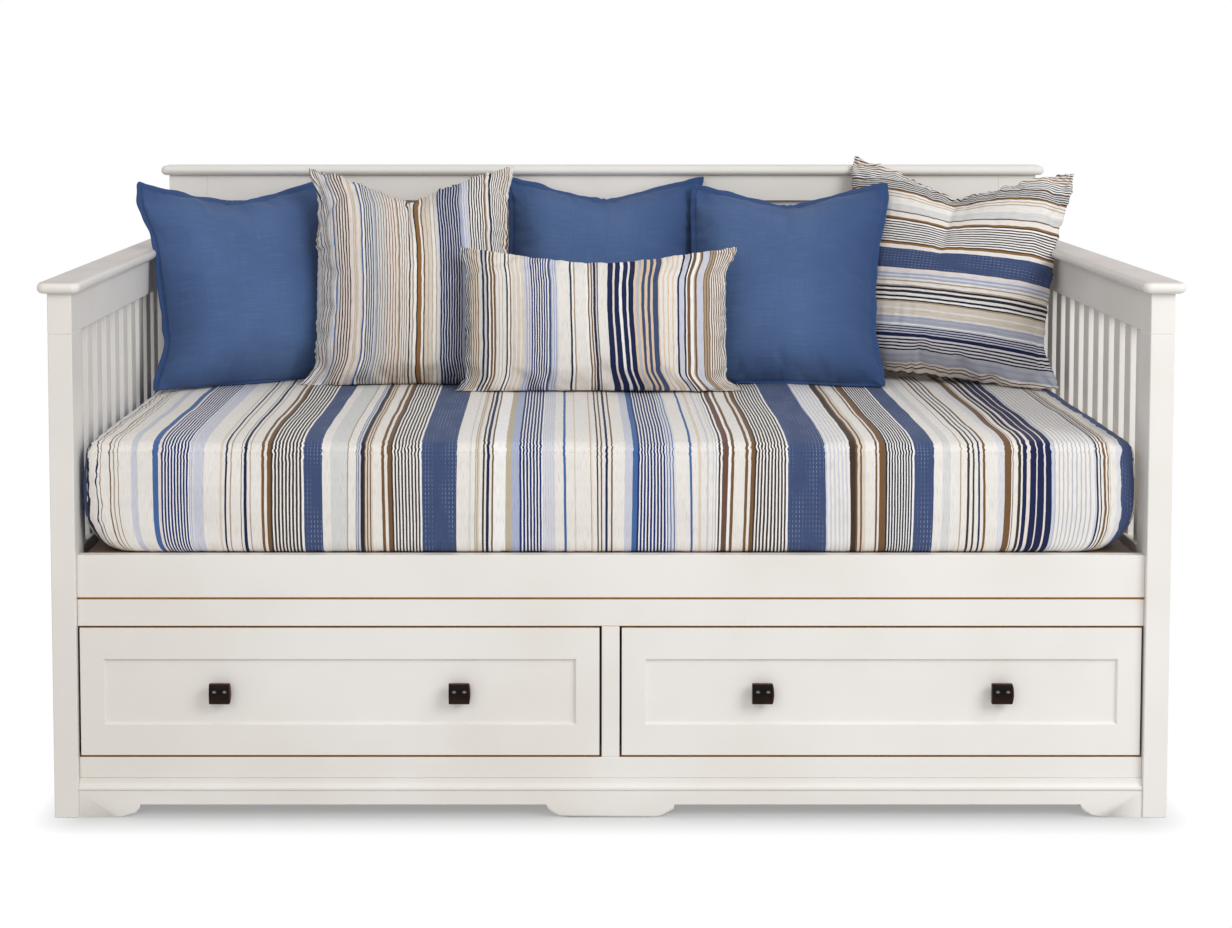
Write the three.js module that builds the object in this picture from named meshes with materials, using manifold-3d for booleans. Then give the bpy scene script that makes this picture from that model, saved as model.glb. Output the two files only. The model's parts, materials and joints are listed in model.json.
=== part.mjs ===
// Storage daybed: two slatted arms and a panelled back carry a bed rail and a flat deck,
// a separate case with two deep drawers stands between the legs, and a twin mattress with six
// loose pillows lies on top. Lengths are in millimetres, angles in degrees.
// +X runs to the right, +Y from the front to the back, +Z up. The origin is on the floor,
// at the middle of the frame.

import * as THREE from 'three';
import Module from 'manifold-3d';
import { mergeVertices } from 'three/addons/utils/BufferGeometryUtils.js';
import { ConvexGeometry } from 'three/addons/geometries/ConvexGeometry.js';

const wasm = await Module();
wasm.setup();

// Mattress: a standard twin, which sets the width and the depth of the frame round it
const mattressLength = 1905;
const mattressDepth = 990;
const mattressThick = 213;
const mattressSideIn = 28.5; // to the inner face of the posts
const coverPuff = 13; // the made-up cover past the ends of the mattress
const mattressFrontIn = 25; // behind the front of the posts
const mattressBackIn = 25; // to the face of the back
const mattressCorner = 42;
const mattressRoll = 30; // radius of the rolled top and bottom edges
const mattressBulge = 5;
const mattressCrown = 7; // rise from the rolled edge to the level middle
const mattressCrownIn = 100;
const mattressCornerSteps = 6;
const mattressRollSteps = 4;
const mattressWallSteps = 4;
const mattressCrownSteps = 3;

// Whole frame
const armHeight = 971; // floor to the underside of the arm caps
const backHeight = 1140; // floor to the underside of the back cap
const edgeEase = 1.2; // softened edges of every painted board
const fitGap = 0.3; // between pieces that only rest on or slip into each other

// Arms
const postThick = 44;
const postDepth = 80;
const armRailHeight = 75;
const armLowerRailThick = 28;
const slatCount = 10;
const slatWidth = 45;
const slatThick = 12;
const slatTenon = 12;

// Bullnosed caps
const capThick = 22;
const capOverhang = 18;
const capCorner = 16;
const capArcSteps = 5;
const capCornerSteps = 4;

// Back
const backThick = 45;
const stileWidth = 85;
const mullionWidth = 85;
const backTopRailHeight = 58;
const panelThick = 12;
const panelGroove = 10;
const grooveSlack = 1.5;

// Bed rail and deck
const railTop = 487;
const railHeight = 79;
const railThick = 25;
const railSetback = 13;
const cleatHeight = 32;
const cleatDepth = 24;
const deckThick = 16;
const beamWidth = 60;

// Drawer case
const caseGap = 2; // below the bed rail
const faceThick = 22;
const caseTopRailHeight = 51;
const drawerBayHeight = 245;
const caseBottomRailHeight = 39;
const mouldingHeight = 22;
const footHeight = 24;
const centreStileWidth = 33;
const casePanelThick = 18;
const caseBackIn = 20; // from the ends of its sides to the face of the back
const caseBackThick = 9;
const plinthProud = 9;
const mouldingTopProud = 3;
const mouldingBead = 9;
const mouldingBeadOut = 2.5;
const mouldingQuirk = 1.5;

// Bracket feet
const endFootWidth = 113;
const centreFootHalf = 118;
const footKneeIn = 10; // from the top of the curve in to its knee
const footKneeRise = 9; // knee above the floor
const footFlatIn = 47; // from the top of the curve in to the flat sole
const sideFootWidth = 120;
const footArcSteps = 6;

// Drawers
const drawerGap = 3;
const drawerFrameWidth = 48;
const drawerFrameHeight = 62;
const drawerRecess = 6;
const recessBevel = 4;
const boxBoardThick = 15;
const boxHeight = 190;
const boxBackIn = 105; // from the ends of the case sides to the back of a drawer box
const boxBottomThick = 9;
const boxBottomLift = 12;
const boxLift = 14; // drawer box above the lower edge of its front
const boxSideClear = 11; // to the case side and the partition
const runnerHeight = 20;
const runnerReach = 28; // out of the case side, under the side of the box

// Square knobs
const knobSpread = 440;
const knobSize = 38;
const knobThick = 11;
const knobCrown = 4;
const knobStemRadius = 7;
const knobStemLength = 16;
const knobCollarRadius = 11;
const knobCollarThick = 3;
const knobSides = 24;
const knobGridSteps = 6;

// Pillows
const blueWidth = 446;
const blueHeight = 474;
const wideBlueWidth = 462;
const stripedWidth = 474;
const stripedHeight = 492;
const wideStripedWidth = 500;
const squareThick = 164;
const lumbarWidth = 596;
const lumbarHeight = 318;
const lumbarThick = 116;
const seamThick = 7;
const bottomDraw = 10;
const valleyWidth = 0.3; // of half the width
const valleyFoot = 0.1; // where the valley begins, as a share of the upper half
const pillowSink = 14; // how much of a pillow's foot is pressed flat
const pillowSteps = 14;
const pillowFullShare = 0.62; // power of the crown: lower is plumper at the seam
const bellyShare = 0.22; // extra fullness low down
const trimDepth = 200; // reach of the cut that flattens a resting face

const paint = new THREE.MeshStandardMaterial({ color: '#e6e2db', roughness: 0.45, metalness: 0 });
const bareWood = new THREE.MeshStandardMaterial({ color: '#b9956a', roughness: 0.7, metalness: 0 });
const bronze = new THREE.MeshStandardMaterial({ color: '#2a201b', roughness: 0.35, metalness: 0.7 });
const stripes = new THREE.MeshStandardMaterial({ color: '#d9d2c6', roughness: 0.95, metalness: 0 });
const blueLinen = new THREE.MeshStandardMaterial({ color: '#44639a', roughness: 0.95, metalness: 0 });

// Places that follow from the sizes
const innerX = mattressLength / 2 + mattressSideIn;
const outerX = innerX + postThick;
const armMidX = (outerX + innerX) / 2;
const frameDepth = mattressFrontIn + mattressDepth + mattressBackIn + backThick;
const frontY = -frameDepth / 2;
const backY = frameDepth / 2;
const backFaceY = backY - backThick;
const postTopZ = armHeight - armRailHeight;
const railBottomZ = railTop - railHeight;
const deckTopZ = railTop;
const deckBottomZ = deckTopZ - deckThick;
const railFrontY = frontY + railSetback;
const railBackY = railFrontY + railThick;

const caseX = innerX - fitGap;
const caseFrontY = railFrontY;
const caseBodyY = caseFrontY + faceThick;
const caseBackY = backFaceY - caseBackIn;
const boxBackY = caseBackY - boxBackIn;
const caseTopZ = railBottomZ - caseGap;
const bayTopZ = caseTopZ - caseTopRailHeight;
const bayBottomZ = bayTopZ - drawerBayHeight;
const mouldingTopZ = bayBottomZ - caseBottomRailHeight;
const plinthTopZ = mouldingTopZ - mouldingHeight;
const mattressTopZ = deckTopZ + mattressThick;

const model = new THREE.Group();

function add(parent, name, geometry, material) {
  const mesh = new THREE.Mesh(geometry, material);
  mesh.name = name;
  parent.add(mesh);
  return mesh;
}

// Solids for cutting and joining
function solid(geometry) {
  const bare = geometry.clone();
  bare.deleteAttribute('normal');
  bare.deleteAttribute('uv');
  const merged = mergeVertices(bare);
  const vertProperties = new Float32Array(merged.attributes.position.array);
  const triVerts = new Uint32Array(merged.index.array);
  return new wasm.Manifold(new wasm.Mesh({ numProp: 3, vertProperties, triVerts }));
}

function geometryOf(manifold) {
  const mesh = manifold.getMesh();
  const geometry = new THREE.BufferGeometry();
  geometry.setAttribute('position', new THREE.BufferAttribute(mesh.vertProperties, mesh.numProp));
  geometry.setIndex(new THREE.BufferAttribute(mesh.triVerts, 1));
  geometry.computeVertexNormals();
  return geometry;
}

// A board between two corners, with its edges eased
function board(x, y, z, ease = edgeEase) {
  const points = [];
  for (const i of [0, 1]) {
    for (const j of [0, 1]) {
      for (const k of [0, 1]) {
        const dx = i ? -ease : ease;
        const dy = j ? -ease : ease;
        const dz = k ? -ease : ease;
        points.push(new THREE.Vector3(x[i], y[j] + dy, z[k] + dz));
        points.push(new THREE.Vector3(x[i] + dx, y[j], z[k] + dz));
        points.push(new THREE.Vector3(x[i] + dx, y[j] + dy, z[k]));
      }
    }
  }
  return new ConvexGeometry(points);
}

// A square-edged box between the same exact limits as its neighbours
function plainBox(x, y, z) {
  const box = new THREE.BoxGeometry();
  const corners = box.attributes.position;
  const end = (value) => (value < 0 ? 0 : 1);
  for (let i = 0; i < corners.count; i += 1) {
    corners.setXYZ(i, x[end(corners.getX(i))], y[end(corners.getY(i))], z[end(corners.getZ(i))]);
  }
  return box;
}

// A span mirrored to the left or right side
function sided(side, near, far) {
  return side < 0 ? [-far, -near] : [near, far];
}

// Rounded rectangle in plan, as a ring of points at one height
function roundedRing(halfX, halfY, radius, steps, z) {
  const ring = [];
  for (let corner = 0; corner < 4; corner += 1) {
    const signX = corner === 0 || corner === 3 ? 1 : -1;
    const signY = corner < 2 ? 1 : -1;
    for (let i = 0; i <= steps; i += 1) {
      const angle = (Math.PI / 2) * (corner + i / steps);
      const x = signX * (halfX - radius) + radius * Math.cos(angle);
      const y = signY * (halfY - radius) + radius * Math.sin(angle);
      ring.push(new THREE.Vector3(x, y, z));
    }
  }
  return ring;
}

// A cap with a full bullnose on all four edges
function bullnoseCap(x, y, z) {
  const halfX = (x[1] - x[0]) / 2;
  const halfY = (y[1] - y[0]) / 2;
  const nose = (z[1] - z[0]) / 2;
  const points = [];
  for (let i = 0; i <= capArcSteps; i += 1) {
    const angle = Math.PI * (i / capArcSteps - 1 / 2);
    const inset = nose * (1 - Math.cos(angle));
    const level = (z[0] + z[1]) / 2 + nose * Math.sin(angle);
    const radius = Math.max(capCorner - inset, edgeEase);
    points.push(...roundedRing(halfX - inset, halfY - inset, radius, capCornerSteps, level));
  }
  const cap = new ConvexGeometry(points);
  cap.translate((x[0] + x[1]) / 2, (y[0] + y[1]) / 2, 0);
  return cap;
}

// Arms: posts, a top rail that runs over them, the cap, and the slats on their lower rail
function armSlats(side) {
  const clearDepth = frameDepth - 2 * postDepth;
  const gap = (clearDepth - slatCount * slatWidth) / (slatCount + 1);
  const railX = sided(side, armMidX - armLowerRailThick / 2, armMidX + armLowerRailThick / 2);
  const slatX = sided(side, armMidX - slatThick / 2, armMidX + slatThick / 2);
  let comb = solid(board(railX, [frontY + postDepth, backY - postDepth], [railBottomZ, railTop]));
  for (let i = 0; i < slatCount; i += 1) {
    const y = frontY + postDepth + gap + i * (gap + slatWidth);
    comb = comb.add(solid(board(slatX, [y, y + slatWidth], [railTop - slatTenon, postTopZ])));
  }
  return geometryOf(comb);
}

// The cap overhangs the arm all round and is notched where the back's stile stands against it
function armCap(side) {
  const x = sided(side, innerX - capOverhang, outerX + capOverhang);
  const y = [frontY - capOverhang, backY + capOverhang];
  const z = [armHeight, armHeight + capThick];
  const notch = plainBox(sided(side, innerX - 2 * capOverhang, innerX + fitGap),
    [backFaceY - fitGap, y[1] + capOverhang], [z[0] - capThick, z[1] + capThick]);
  return geometryOf(solid(bullnoseCap(x, y, z)).subtract(solid(notch)));
}

function makeArm(side, word) {
  const arm = new THREE.Group();
  const thick = sided(side, innerX, outerX);
  const depth = [frontY, backY];
  add(arm, `${word}_front_post`, board(thick, [frontY, frontY + postDepth], [0, postTopZ]), paint);
  add(arm, `${word}_back_post`, board(thick, [backY - postDepth, backY], [0, postTopZ]), paint);
  add(arm, `${word}_arm_top_rail`, board(thick, depth, [postTopZ, armHeight]), paint);
  add(arm, `${word}_arm_cap`, armCap(side), paint);
  add(arm, `${word}_arm_slats`, armSlats(side), paint);
  return arm;
}

model.add(makeArm(-1, 'left'), makeArm(1, 'right'));

// Back: a frame of stiles, rails and mullions, grooved for three thin panels, under a cap
function makeBack() {
  const back = new THREE.Group();
  const stileX = innerX - stileWidth;
  const y = [backFaceY, backY];
  const topRailZ = [backHeight - backTopRailHeight, backHeight];
  const lowRailZ = [railBottomZ, railTop];
  const bayX = (2 * stileX - 2 * mullionWidth) / 3;
  const panelMidY = (backFaceY + backY) / 2;
  const panelY = [panelMidY - panelThick / 2, panelMidY + panelThick / 2];
  const panelZ = [lowRailZ[1] - panelGroove, topRailZ[0] + panelGroove];
  const panels = [];
  for (let i = 0; i < 3; i += 1) {
    const left = -stileX + i * (bayX + mullionWidth);
    panels.push([left - panelGroove, left + bayX + panelGroove]);
  }
  const grooves = panels.map((x) => solid(plainBox(
    [x[0] - grooveSlack, x[1] + grooveSlack],
    [panelY[0] - fitGap, panelY[1] + fitGap],
    [panelZ[0] - grooveSlack, panelZ[1] + grooveSlack],
  )));
  const grooved = (geometry) => {
    let piece = solid(geometry);
    for (const groove of grooves) piece = piece.subtract(groove);
    return geometryOf(piece);
  };
  add(back, 'back_left_stile', grooved(board([-innerX, -stileX], y, [0, backHeight])), paint);
  add(back, 'back_right_stile', grooved(board([stileX, innerX], y, [0, backHeight])), paint);
  add(back, 'back_top_rail', grooved(board([-stileX, stileX], y, topRailZ)), paint);
  add(back, 'back_lower_rail', grooved(board([-stileX, stileX], y, lowRailZ)), paint);
  for (const [side, word] of [[-1, 'left'], [1, 'right']]) {
    const x = sided(side, bayX / 2, bayX / 2 + mullionWidth);
    add(back, `back_${word}_mullion`, grooved(board(x, y, [lowRailZ[1], topRailZ[0]])), paint);
  }
  ['left', 'centre', 'right'].forEach((word, i) => {
    const seat = [panelZ[0] - grooveSlack + fitGap, panelZ[1]];
    add(back, `back_${word}_panel`, plainBox(panels[i], panelY, seat), paint);
  });
  const capX = [-innerX - capOverhang, innerX + capOverhang];
  const capY = [backFaceY - capOverhang, backY + capOverhang];
  add(back, 'back_cap', bullnoseCap(capX, capY, [backHeight, backHeight + capThick]), paint);
  return back;
}

model.add(makeBack());

// Bed rail, the cleats behind it and on the back, and the deck in two halves over a beam
function makeDeck() {
  const deck = new THREE.Group();
  const cleatZ = [deckBottomZ - cleatHeight, deckBottomZ];
  const clearY = [railBackY + fitGap, backFaceY - fitGap];
  const beamZ = [railBottomZ, deckBottomZ];
  add(deck, 'front_bed_rail',
    board([-innerX, innerX], [railFrontY, railBackY], [railBottomZ, railTop]), paint);
  const cleatX = [-innerX + postThick, innerX - postThick];
  add(deck, 'front_cleat', board(cleatX, [railBackY, railBackY + cleatDepth], cleatZ), bareWood);
  add(deck, 'back_cleat', board(cleatX, [backFaceY - cleatDepth, backFaceY], cleatZ), bareWood);
  const beamY = [railBackY + cleatDepth, backFaceY - cleatDepth];
  add(deck, 'deck_beam', board([-beamWidth / 2, beamWidth / 2], beamY, beamZ), bareWood);
  const halfX = [fitGap, innerX - armLowerRailThick / 2];
  const z = [deckBottomZ, deckTopZ];
  add(deck, 'deck_left_half', board([-halfX[1], -halfX[0]], clearY, z), bareWood);
  add(deck, 'deck_right_half', board(halfX, clearY, z), bareWood);
  return deck;
}

model.add(makeDeck());

// The lower edge of a foot, from the flat sole up to the underside of the plinth band
function footCurve(sole, top) {
  const way = Math.sign(top - sole);
  const knee = top - way * footKneeIn;
  const points = [[sole, 0]];
  for (let i = 1; i <= footArcSteps; i += 1) {
    const share = i / footArcSteps;
    points.push([sole + (knee - sole) * share, footKneeRise * share ** 1.6]);
  }
  for (let i = 1; i <= footArcSteps; i += 1) {
    const angle = (Math.PI / 2) * (i / footArcSteps);
    const out = footKneeIn * Math.sin(angle);
    points.push([knee + way * out, footHeight - (footHeight - footKneeRise) * Math.cos(angle)]);
  }
  return points;
}

// The front plinth: one board whose underside is cut into two end feet and a centre foot
function plinthGeometry() {
  const endTop = caseX - endFootWidth;
  const endSole = endTop + footFlatIn;
  const centreSole = centreFootHalf - footFlatIn;
  const outline = [
    [-caseX, 0],
    ...footCurve(-endSole, -endTop),
    ...footCurve(-centreSole, -centreFootHalf).reverse(),
    ...footCurve(centreSole, centreFootHalf),
    ...footCurve(endSole, endTop).reverse(),
    [caseX, 0],
    [caseX, plinthTopZ],
    [-caseX, plinthTopZ],
  ];
  const shape = new THREE.Shape(outline.map(([x, z]) => new THREE.Vector2(x, z)));
  const depth = faceThick + plinthProud;
  const plinth = new THREE.ExtrudeGeometry(shape, { depth, bevelEnabled: false });
  plinth.rotateX(Math.PI / 2);
  plinth.translate(0, caseBodyY, 0);
  return plinth;
}

// The moulding on the plinth: a round bead, a quirk and a small cove under the bottom rail
function mouldingGeometry() {
  const beadIn = faceThick + plinthProud - mouldingBeadOut;
  const coveIn = beadIn - mouldingQuirk;
  const topIn = faceThick + mouldingTopProud;
  const coveZ = mouldingBead + mouldingQuirk;
  const profile = [[0, 0]];
  for (let i = 0; i <= footArcSteps; i += 1) {
    const angle = Math.PI * (i / footArcSteps - 1 / 2);
    profile.push([beadIn + mouldingBeadOut * Math.cos(angle), (mouldingBead / 2) * (1 + Math.sin(angle))]);
  }
  profile.push([coveIn, mouldingBead]);
  for (let i = 0; i <= footArcSteps; i += 1) {
    const angle = (Math.PI / 2) * (i / footArcSteps);
    profile.push([topIn + (coveIn - topIn) * (1 - Math.sin(angle)),
      coveZ + (mouldingHeight - coveZ) * (1 - Math.cos(angle))]);
  }
  profile.push([0, mouldingHeight]);
  const shape = new THREE.Shape(profile.map(([y, z]) => new THREE.Vector2(y, z)));
  const strip = new THREE.ExtrudeGeometry(shape, { depth: 2 * caseX, bevelEnabled: false });
  // profile x runs forward (-Y), profile y runs up, the extrusion runs along X
  strip.applyMatrix4(new THREE.Matrix4().makeBasis(
    new THREE.Vector3(0, -1, 0), new THREE.Vector3(0, 0, 1), new THREE.Vector3(-1, 0, 0)));
  strip.translate(caseX, caseBodyY, plinthTopZ);
  return strip;
}

// A case side, standing on a foot at each end
function caseWall(x) {
  const y = [caseBodyY, caseBackY];
  const wall = solid(plainBox(x, y, [0, caseTopZ]));
  const arch = plainBox([x[0] - trimDepth, x[1] + trimDepth],
    [y[0] + sideFootWidth, y[1] - sideFootWidth], [-trimDepth, footHeight]);
  return geometryOf(wall.subtract(solid(arch)));
}

function makeCase() {
  const box = new THREE.Group();
  const faceY = [caseFrontY, caseBodyY];
  const half = casePanelThick / 2;
  add(box, 'case_left_side', caseWall([-caseX, -caseX + casePanelThick]), paint);
  add(box, 'case_right_side', caseWall([caseX - casePanelThick, caseX]), paint);
  add(box, 'case_partition',
    board([-half, half], [caseBodyY, caseBackY], [footHeight, caseTopZ]), bareWood);
  const backZ = [mouldingTopZ, caseTopZ];
  add(box, 'case_back', board([-caseX, caseX], [caseBackY, caseBackY + caseBackThick], backZ), bareWood);
  add(box, 'case_top_rail', board([-caseX, caseX], faceY, [bayTopZ, caseTopZ]), paint);
  add(box, 'case_bottom_rail', board([-caseX, caseX], faceY, [mouldingTopZ, bayBottomZ]), paint);
  const stileX = [-centreStileWidth / 2, centreStileWidth / 2];
  add(box, 'case_centre_stile', board(stileX, faceY, [bayBottomZ, bayTopZ]), paint);
  add(box, 'base_moulding', mouldingGeometry(), paint);
  add(box, 'bracket_plinth', plinthGeometry(), paint);
  return box;
}

model.add(makeCase());

// A drawer front: a frame around a sunk field with a bevelled edge
function drawerFront(x, y, z) {
  const slab = solid(board(x, y, z));
  const inX = [x[0] + drawerFrameWidth, x[1] - drawerFrameWidth];
  const inZ = [z[0] + drawerFrameHeight, z[1] - drawerFrameHeight];
  const floorY = y[0] + drawerRecess;
  const points = [];
  for (const [level, grow] of [[floorY, 0], [y[0], recessBevel], [y[0] - recessBevel, recessBevel]]) {
    for (const px of [inX[0] - grow, inX[1] + grow]) {
      for (const pz of [inZ[0] - grow, inZ[1] + grow]) points.push(new THREE.Vector3(px, level, pz));
    }
  }
  return geometryOf(slab.subtract(solid(new ConvexGeometry(points))));
}

// A square knob with a pillowed face on a round stem and collar, standing out towards -Y
function knobGeometry() {
  const points = [];
  const half = knobSize / 2;
  for (let i = 0; i <= knobGridSteps; i += 1) {
    for (let j = 0; j <= knobGridSteps; j += 1) {
      const u = 2 * (i / knobGridSteps) - 1;
      const v = 2 * (j / knobGridSteps) - 1;
      const swell = knobCrown * (1 - (u * u + v * v) / 2);
      points.push(new THREE.Vector3(u * half, -(knobStemLength + knobThick - knobCrown + swell), v * half));
    }
  }
  const backHalf = half - edgeEase;
  for (const u of [-backHalf, backHalf]) {
    for (const v of [-backHalf, backHalf]) points.push(new THREE.Vector3(u, -knobStemLength, v));
  }
  const bore = (radius, length) => {
    const rod = new THREE.CylinderGeometry(radius, radius, length, knobSides);
    rod.translate(0, -length / 2, 0);
    return solid(rod);
  };
  const head = solid(new ConvexGeometry(points));
  const stem = bore(knobStemRadius, knobStemLength + knobThick / 2);
  return geometryOf(head.add(stem).add(bore(knobCollarRadius, knobCollarThick)));
}

// The box of a drawer slides on two ledges, one along each wall of its bay
const boxBottomZ = bayBottomZ + drawerGap + boxLift;
const runnerZ = [boxBottomZ - fitGap - runnerHeight, boxBottomZ - fitGap];
const runnerY = [caseBodyY, boxBackY];

function makeDrawer(side, word) {
  const drawer = new THREE.Group();
  const frontX = sided(side, centreStileWidth / 2 + drawerGap, innerX - drawerGap);
  const frontZ = [bayBottomZ + drawerGap, bayTopZ - drawerGap];
  const slabY = [caseFrontY, caseBodyY - fitGap];
  add(drawer, `${word}_drawer_front`, drawerFront(frontX, slabY, frontZ), paint);

  const wallX = sided(side, casePanelThick / 2, caseX - casePanelThick);
  const boxX = [wallX[0] + boxSideClear, wallX[1] - boxSideClear];
  const boxY = [slabY[1], boxBackY];
  const boxZ = [boxBottomZ, boxBottomZ + boxHeight];
  const insideX = [boxX[0] + boxBoardThick, boxX[1] - boxBoardThick];
  add(drawer, `${word}_drawer_left_side`, board([boxX[0], insideX[0]], boxY, boxZ), bareWood);
  add(drawer, `${word}_drawer_right_side`, board([insideX[1], boxX[1]], boxY, boxZ), bareWood);
  const backSpan = [boxY[1] - boxBoardThick, boxY[1]];
  add(drawer, `${word}_drawer_back`, board(insideX, backSpan, boxZ), bareWood);
  const floorZ = [boxZ[0] + boxBottomLift, boxZ[0] + boxBottomLift + boxBottomThick];
  add(drawer, `${word}_drawer_bottom`,
    plainBox(insideX, [boxY[0], backSpan[0]], floorZ), bareWood);

  const midX = (frontX[0] + frontX[1]) / 2;
  const midZ = (frontZ[0] + frontZ[1]) / 2;
  for (const [hand, way] of [['left', -1], ['right', 1]]) {
    const knob = add(drawer, `${word}_drawer_${hand}_knob`, knobGeometry(), bronze);
    knob.position.set(midX + (way * knobSpread) / 2, caseFrontY + drawerRecess, midZ);
  }
  return drawer;
}

function makeRunners(side, word) {
  const runners = new THREE.Group();
  const wallX = sided(side, casePanelThick / 2, caseX - casePanelThick);
  add(runners, `${word}_bay_left_runner`,
    board([wallX[0], wallX[0] + runnerReach], runnerY, runnerZ), bareWood);
  add(runners, `${word}_bay_right_runner`,
    board([wallX[1] - runnerReach, wallX[1]], runnerY, runnerZ), bareWood);
  return runners;
}

for (const [side, word] of [[-1, 'left'], [1, 'right']]) {
  model.add(makeDrawer(side, word), makeRunners(side, word));
}

// Joins rings of equal length into a closed skin, with a fan over each end
function skin(rings) {
  const count = rings[0].length;
  const points = rings.flat();
  const middle = (ring) => ring.reduce((sum, p) => sum.add(p), new THREE.Vector3()).divideScalar(count);
  const first = points.push(middle(rings[0])) - 1;
  const last = points.push(middle(rings[rings.length - 1])) - 1;
  const index = [];
  for (let r = 0; r + 1 < rings.length; r += 1) {
    for (let i = 0; i < count; i += 1) {
      const a = r * count + i;
      const b = r * count + ((i + 1) % count);
      index.push(a, b, b + count, a, b + count, a + count);
    }
  }
  const top = (rings.length - 1) * count;
  for (let i = 0; i < count; i += 1) {
    const next = (i + 1) % count;
    index.push(first, next, i, last, top + i, top + next);
  }
  const geometry = new THREE.BufferGeometry().setFromPoints(points);
  geometry.setIndex(index);
  geometry.computeVertexNormals();
  return geometry;
}

// The mattress: rolled edges, slightly full walls, and a top that crowns to a level middle
function mattressGeometry() {
  const halfX = mattressLength / 2 + coverPuff;
  const halfY = mattressDepth / 2;
  const edgeTop = mattressTopZ - mattressCrown;
  const rings = [];
  const ringAt = (inset, z) => {
    const radius = Math.max(mattressCorner - inset, mattressCorner / 2);
    rings.push(roundedRing(halfX - inset, halfY - inset, radius, mattressCornerSteps, z));
  };
  for (let i = 0; i <= mattressRollSteps; i += 1) {
    const angle = (Math.PI / 2) * (i / mattressRollSteps);
    ringAt(mattressBulge + mattressRoll * (1 - Math.sin(angle)),
      deckTopZ + mattressRoll * (1 - Math.cos(angle)));
  }
  for (let i = 1; i < mattressWallSteps; i += 1) {
    const share = i / mattressWallSteps;
    const wall = mattressThick - mattressCrown - 2 * mattressRoll;
    ringAt(mattressBulge * (1 - Math.sin(Math.PI * share)), deckTopZ + mattressRoll + wall * share);
  }
  for (let i = 0; i <= mattressRollSteps; i += 1) {
    const angle = (Math.PI / 2) * (i / mattressRollSteps);
    ringAt(mattressBulge + mattressRoll * (1 - Math.cos(angle)),
      edgeTop - mattressRoll * (1 - Math.sin(angle)));
  }
  for (let i = 1; i <= mattressCrownSteps; i += 1) {
    const share = i / mattressCrownSteps;
    ringAt(mattressBulge + mattressRoll + mattressCrownIn * share,
      edgeTop + mattressCrown * Math.sin((Math.PI / 2) * share));
  }
  const mattress = skin(rings);
  mattress.translate(0, frontY + mattressFrontIn + halfY, 0);
  return mattress;
}

add(model, 'mattress', mattressGeometry(), stripes);

const smoothStep = (low, high, x) => THREE.MathUtils.smoothstep(x, low, high);

// Half the width of a pillow: a side stands drawn in over its middle and flares to its corners
function halfWidth({ wide, draw, ear, foot, lift, drop }, u, v) {
  const flare = v > 0 ? lift * smoothStep(ear[0], ear[1], v) : drop * smoothStep(foot, 1, -v);
  return wide / 2 - draw[u < 0 ? 0 : 1] * (1 - flare);
}

// How far the top edge has come up from its dip, 0 in the middle and 1 at the ears
function chopRise({ chop, arch }, u) {
  return ((Math.hypot(u, chop) - chop) / (Math.hypot(1, chop) - chop)) ** arch;
}

// A pillow standing on its lower edge, its face towards -Y: a crowned body with a valley in each
// face below the dip
function pillowGeometry(shape) {
  const { tall, thick, dip, valley } = shape;
  const rows = [];
  const at = (i) => Math.sin((Math.PI / 2) * ((2 * i) / pillowSteps - 1));
  for (const face of [-1, 1]) {
    for (let j = 0; j <= pillowSteps; j += 1) {
      for (let i = 0; i <= pillowSteps; i += 1) {
        const u = at(i);
        const v = at(j);
        const topEdge = tall / 2 - dip * (1 - chopRise(shape, u));
        const lowEdge = tall / 2 - bottomDraw * (1 - u * u);
        const body = ((1 - u * u) * (1 - v * v)) ** pillowFullShare * (1 - bellyShare * v);
        const hollow = valley * Math.exp(-((u / valleyWidth) ** 2)) * smoothStep(valleyFoot, 1, v);
        const y = face * (seamThick / 2 + ((thick - seamThick) / 2) * body * (1 - hollow));
        const z = tall / 2 + v * (v > 0 ? topEdge : lowEdge);
        rows.push(new THREE.Vector3(u * halfWidth(shape, u, v), y, z));
      }
    }
  }
  const side = pillowSteps + 1;
  const sheet = side * side;
  const index = [];
  for (let j = 0; j < pillowSteps; j += 1) {
    for (let i = 0; i < pillowSteps; i += 1) {
      const a = j * side + i;
      const [b, c, d] = [a + 1, a + side + 1, a + side];
      index.push(a, b, c, a, c, d);
      index.push(sheet + a, sheet + c, sheet + b, sheet + a, sheet + d, sheet + c);
    }
  }
  const rim = [];
  for (let i = 0; i < pillowSteps; i += 1) rim.push(i);
  for (let j = 0; j < pillowSteps; j += 1) rim.push(j * side + pillowSteps);
  for (let i = pillowSteps; i > 0; i -= 1) rim.push(pillowSteps * side + i);
  for (let j = pillowSteps; j > 0; j -= 1) rim.push(j * side);
  rim.forEach((a, k) => {
    const b = rim[(k + 1) % rim.length];
    index.push(a, sheet + a, sheet + b, a, sheet + b, b);
  });
  const geometry = new THREE.BufferGeometry().setFromPoints(rows);
  geometry.setIndex(index);
  geometry.computeVertexNormals();
  return geometry;
}

// Turns a pillow, sets its foot on the mattress and presses the lowest part flat
function restPillow(geometry, { x, y, yaw, lean, roll }) {
  const turned = geometry.clone();
  turned.rotateY(THREE.MathUtils.degToRad(roll));
  turned.rotateX(THREE.MathUtils.degToRad(-lean));
  turned.rotateZ(THREE.MathUtils.degToRad(yaw));
  turned.computeBoundingBox();
  const restZ = mattressTopZ + fitGap;
  turned.translate(x, y, restZ - pillowSink - turned.boundingBox.min.z);
  const below = plainBox([-outerX, outerX], [frontY, backY], [restZ - trimDepth, restZ]);
  return geometryOf(solid(turned).subtract(solid(below)));
}

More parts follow.
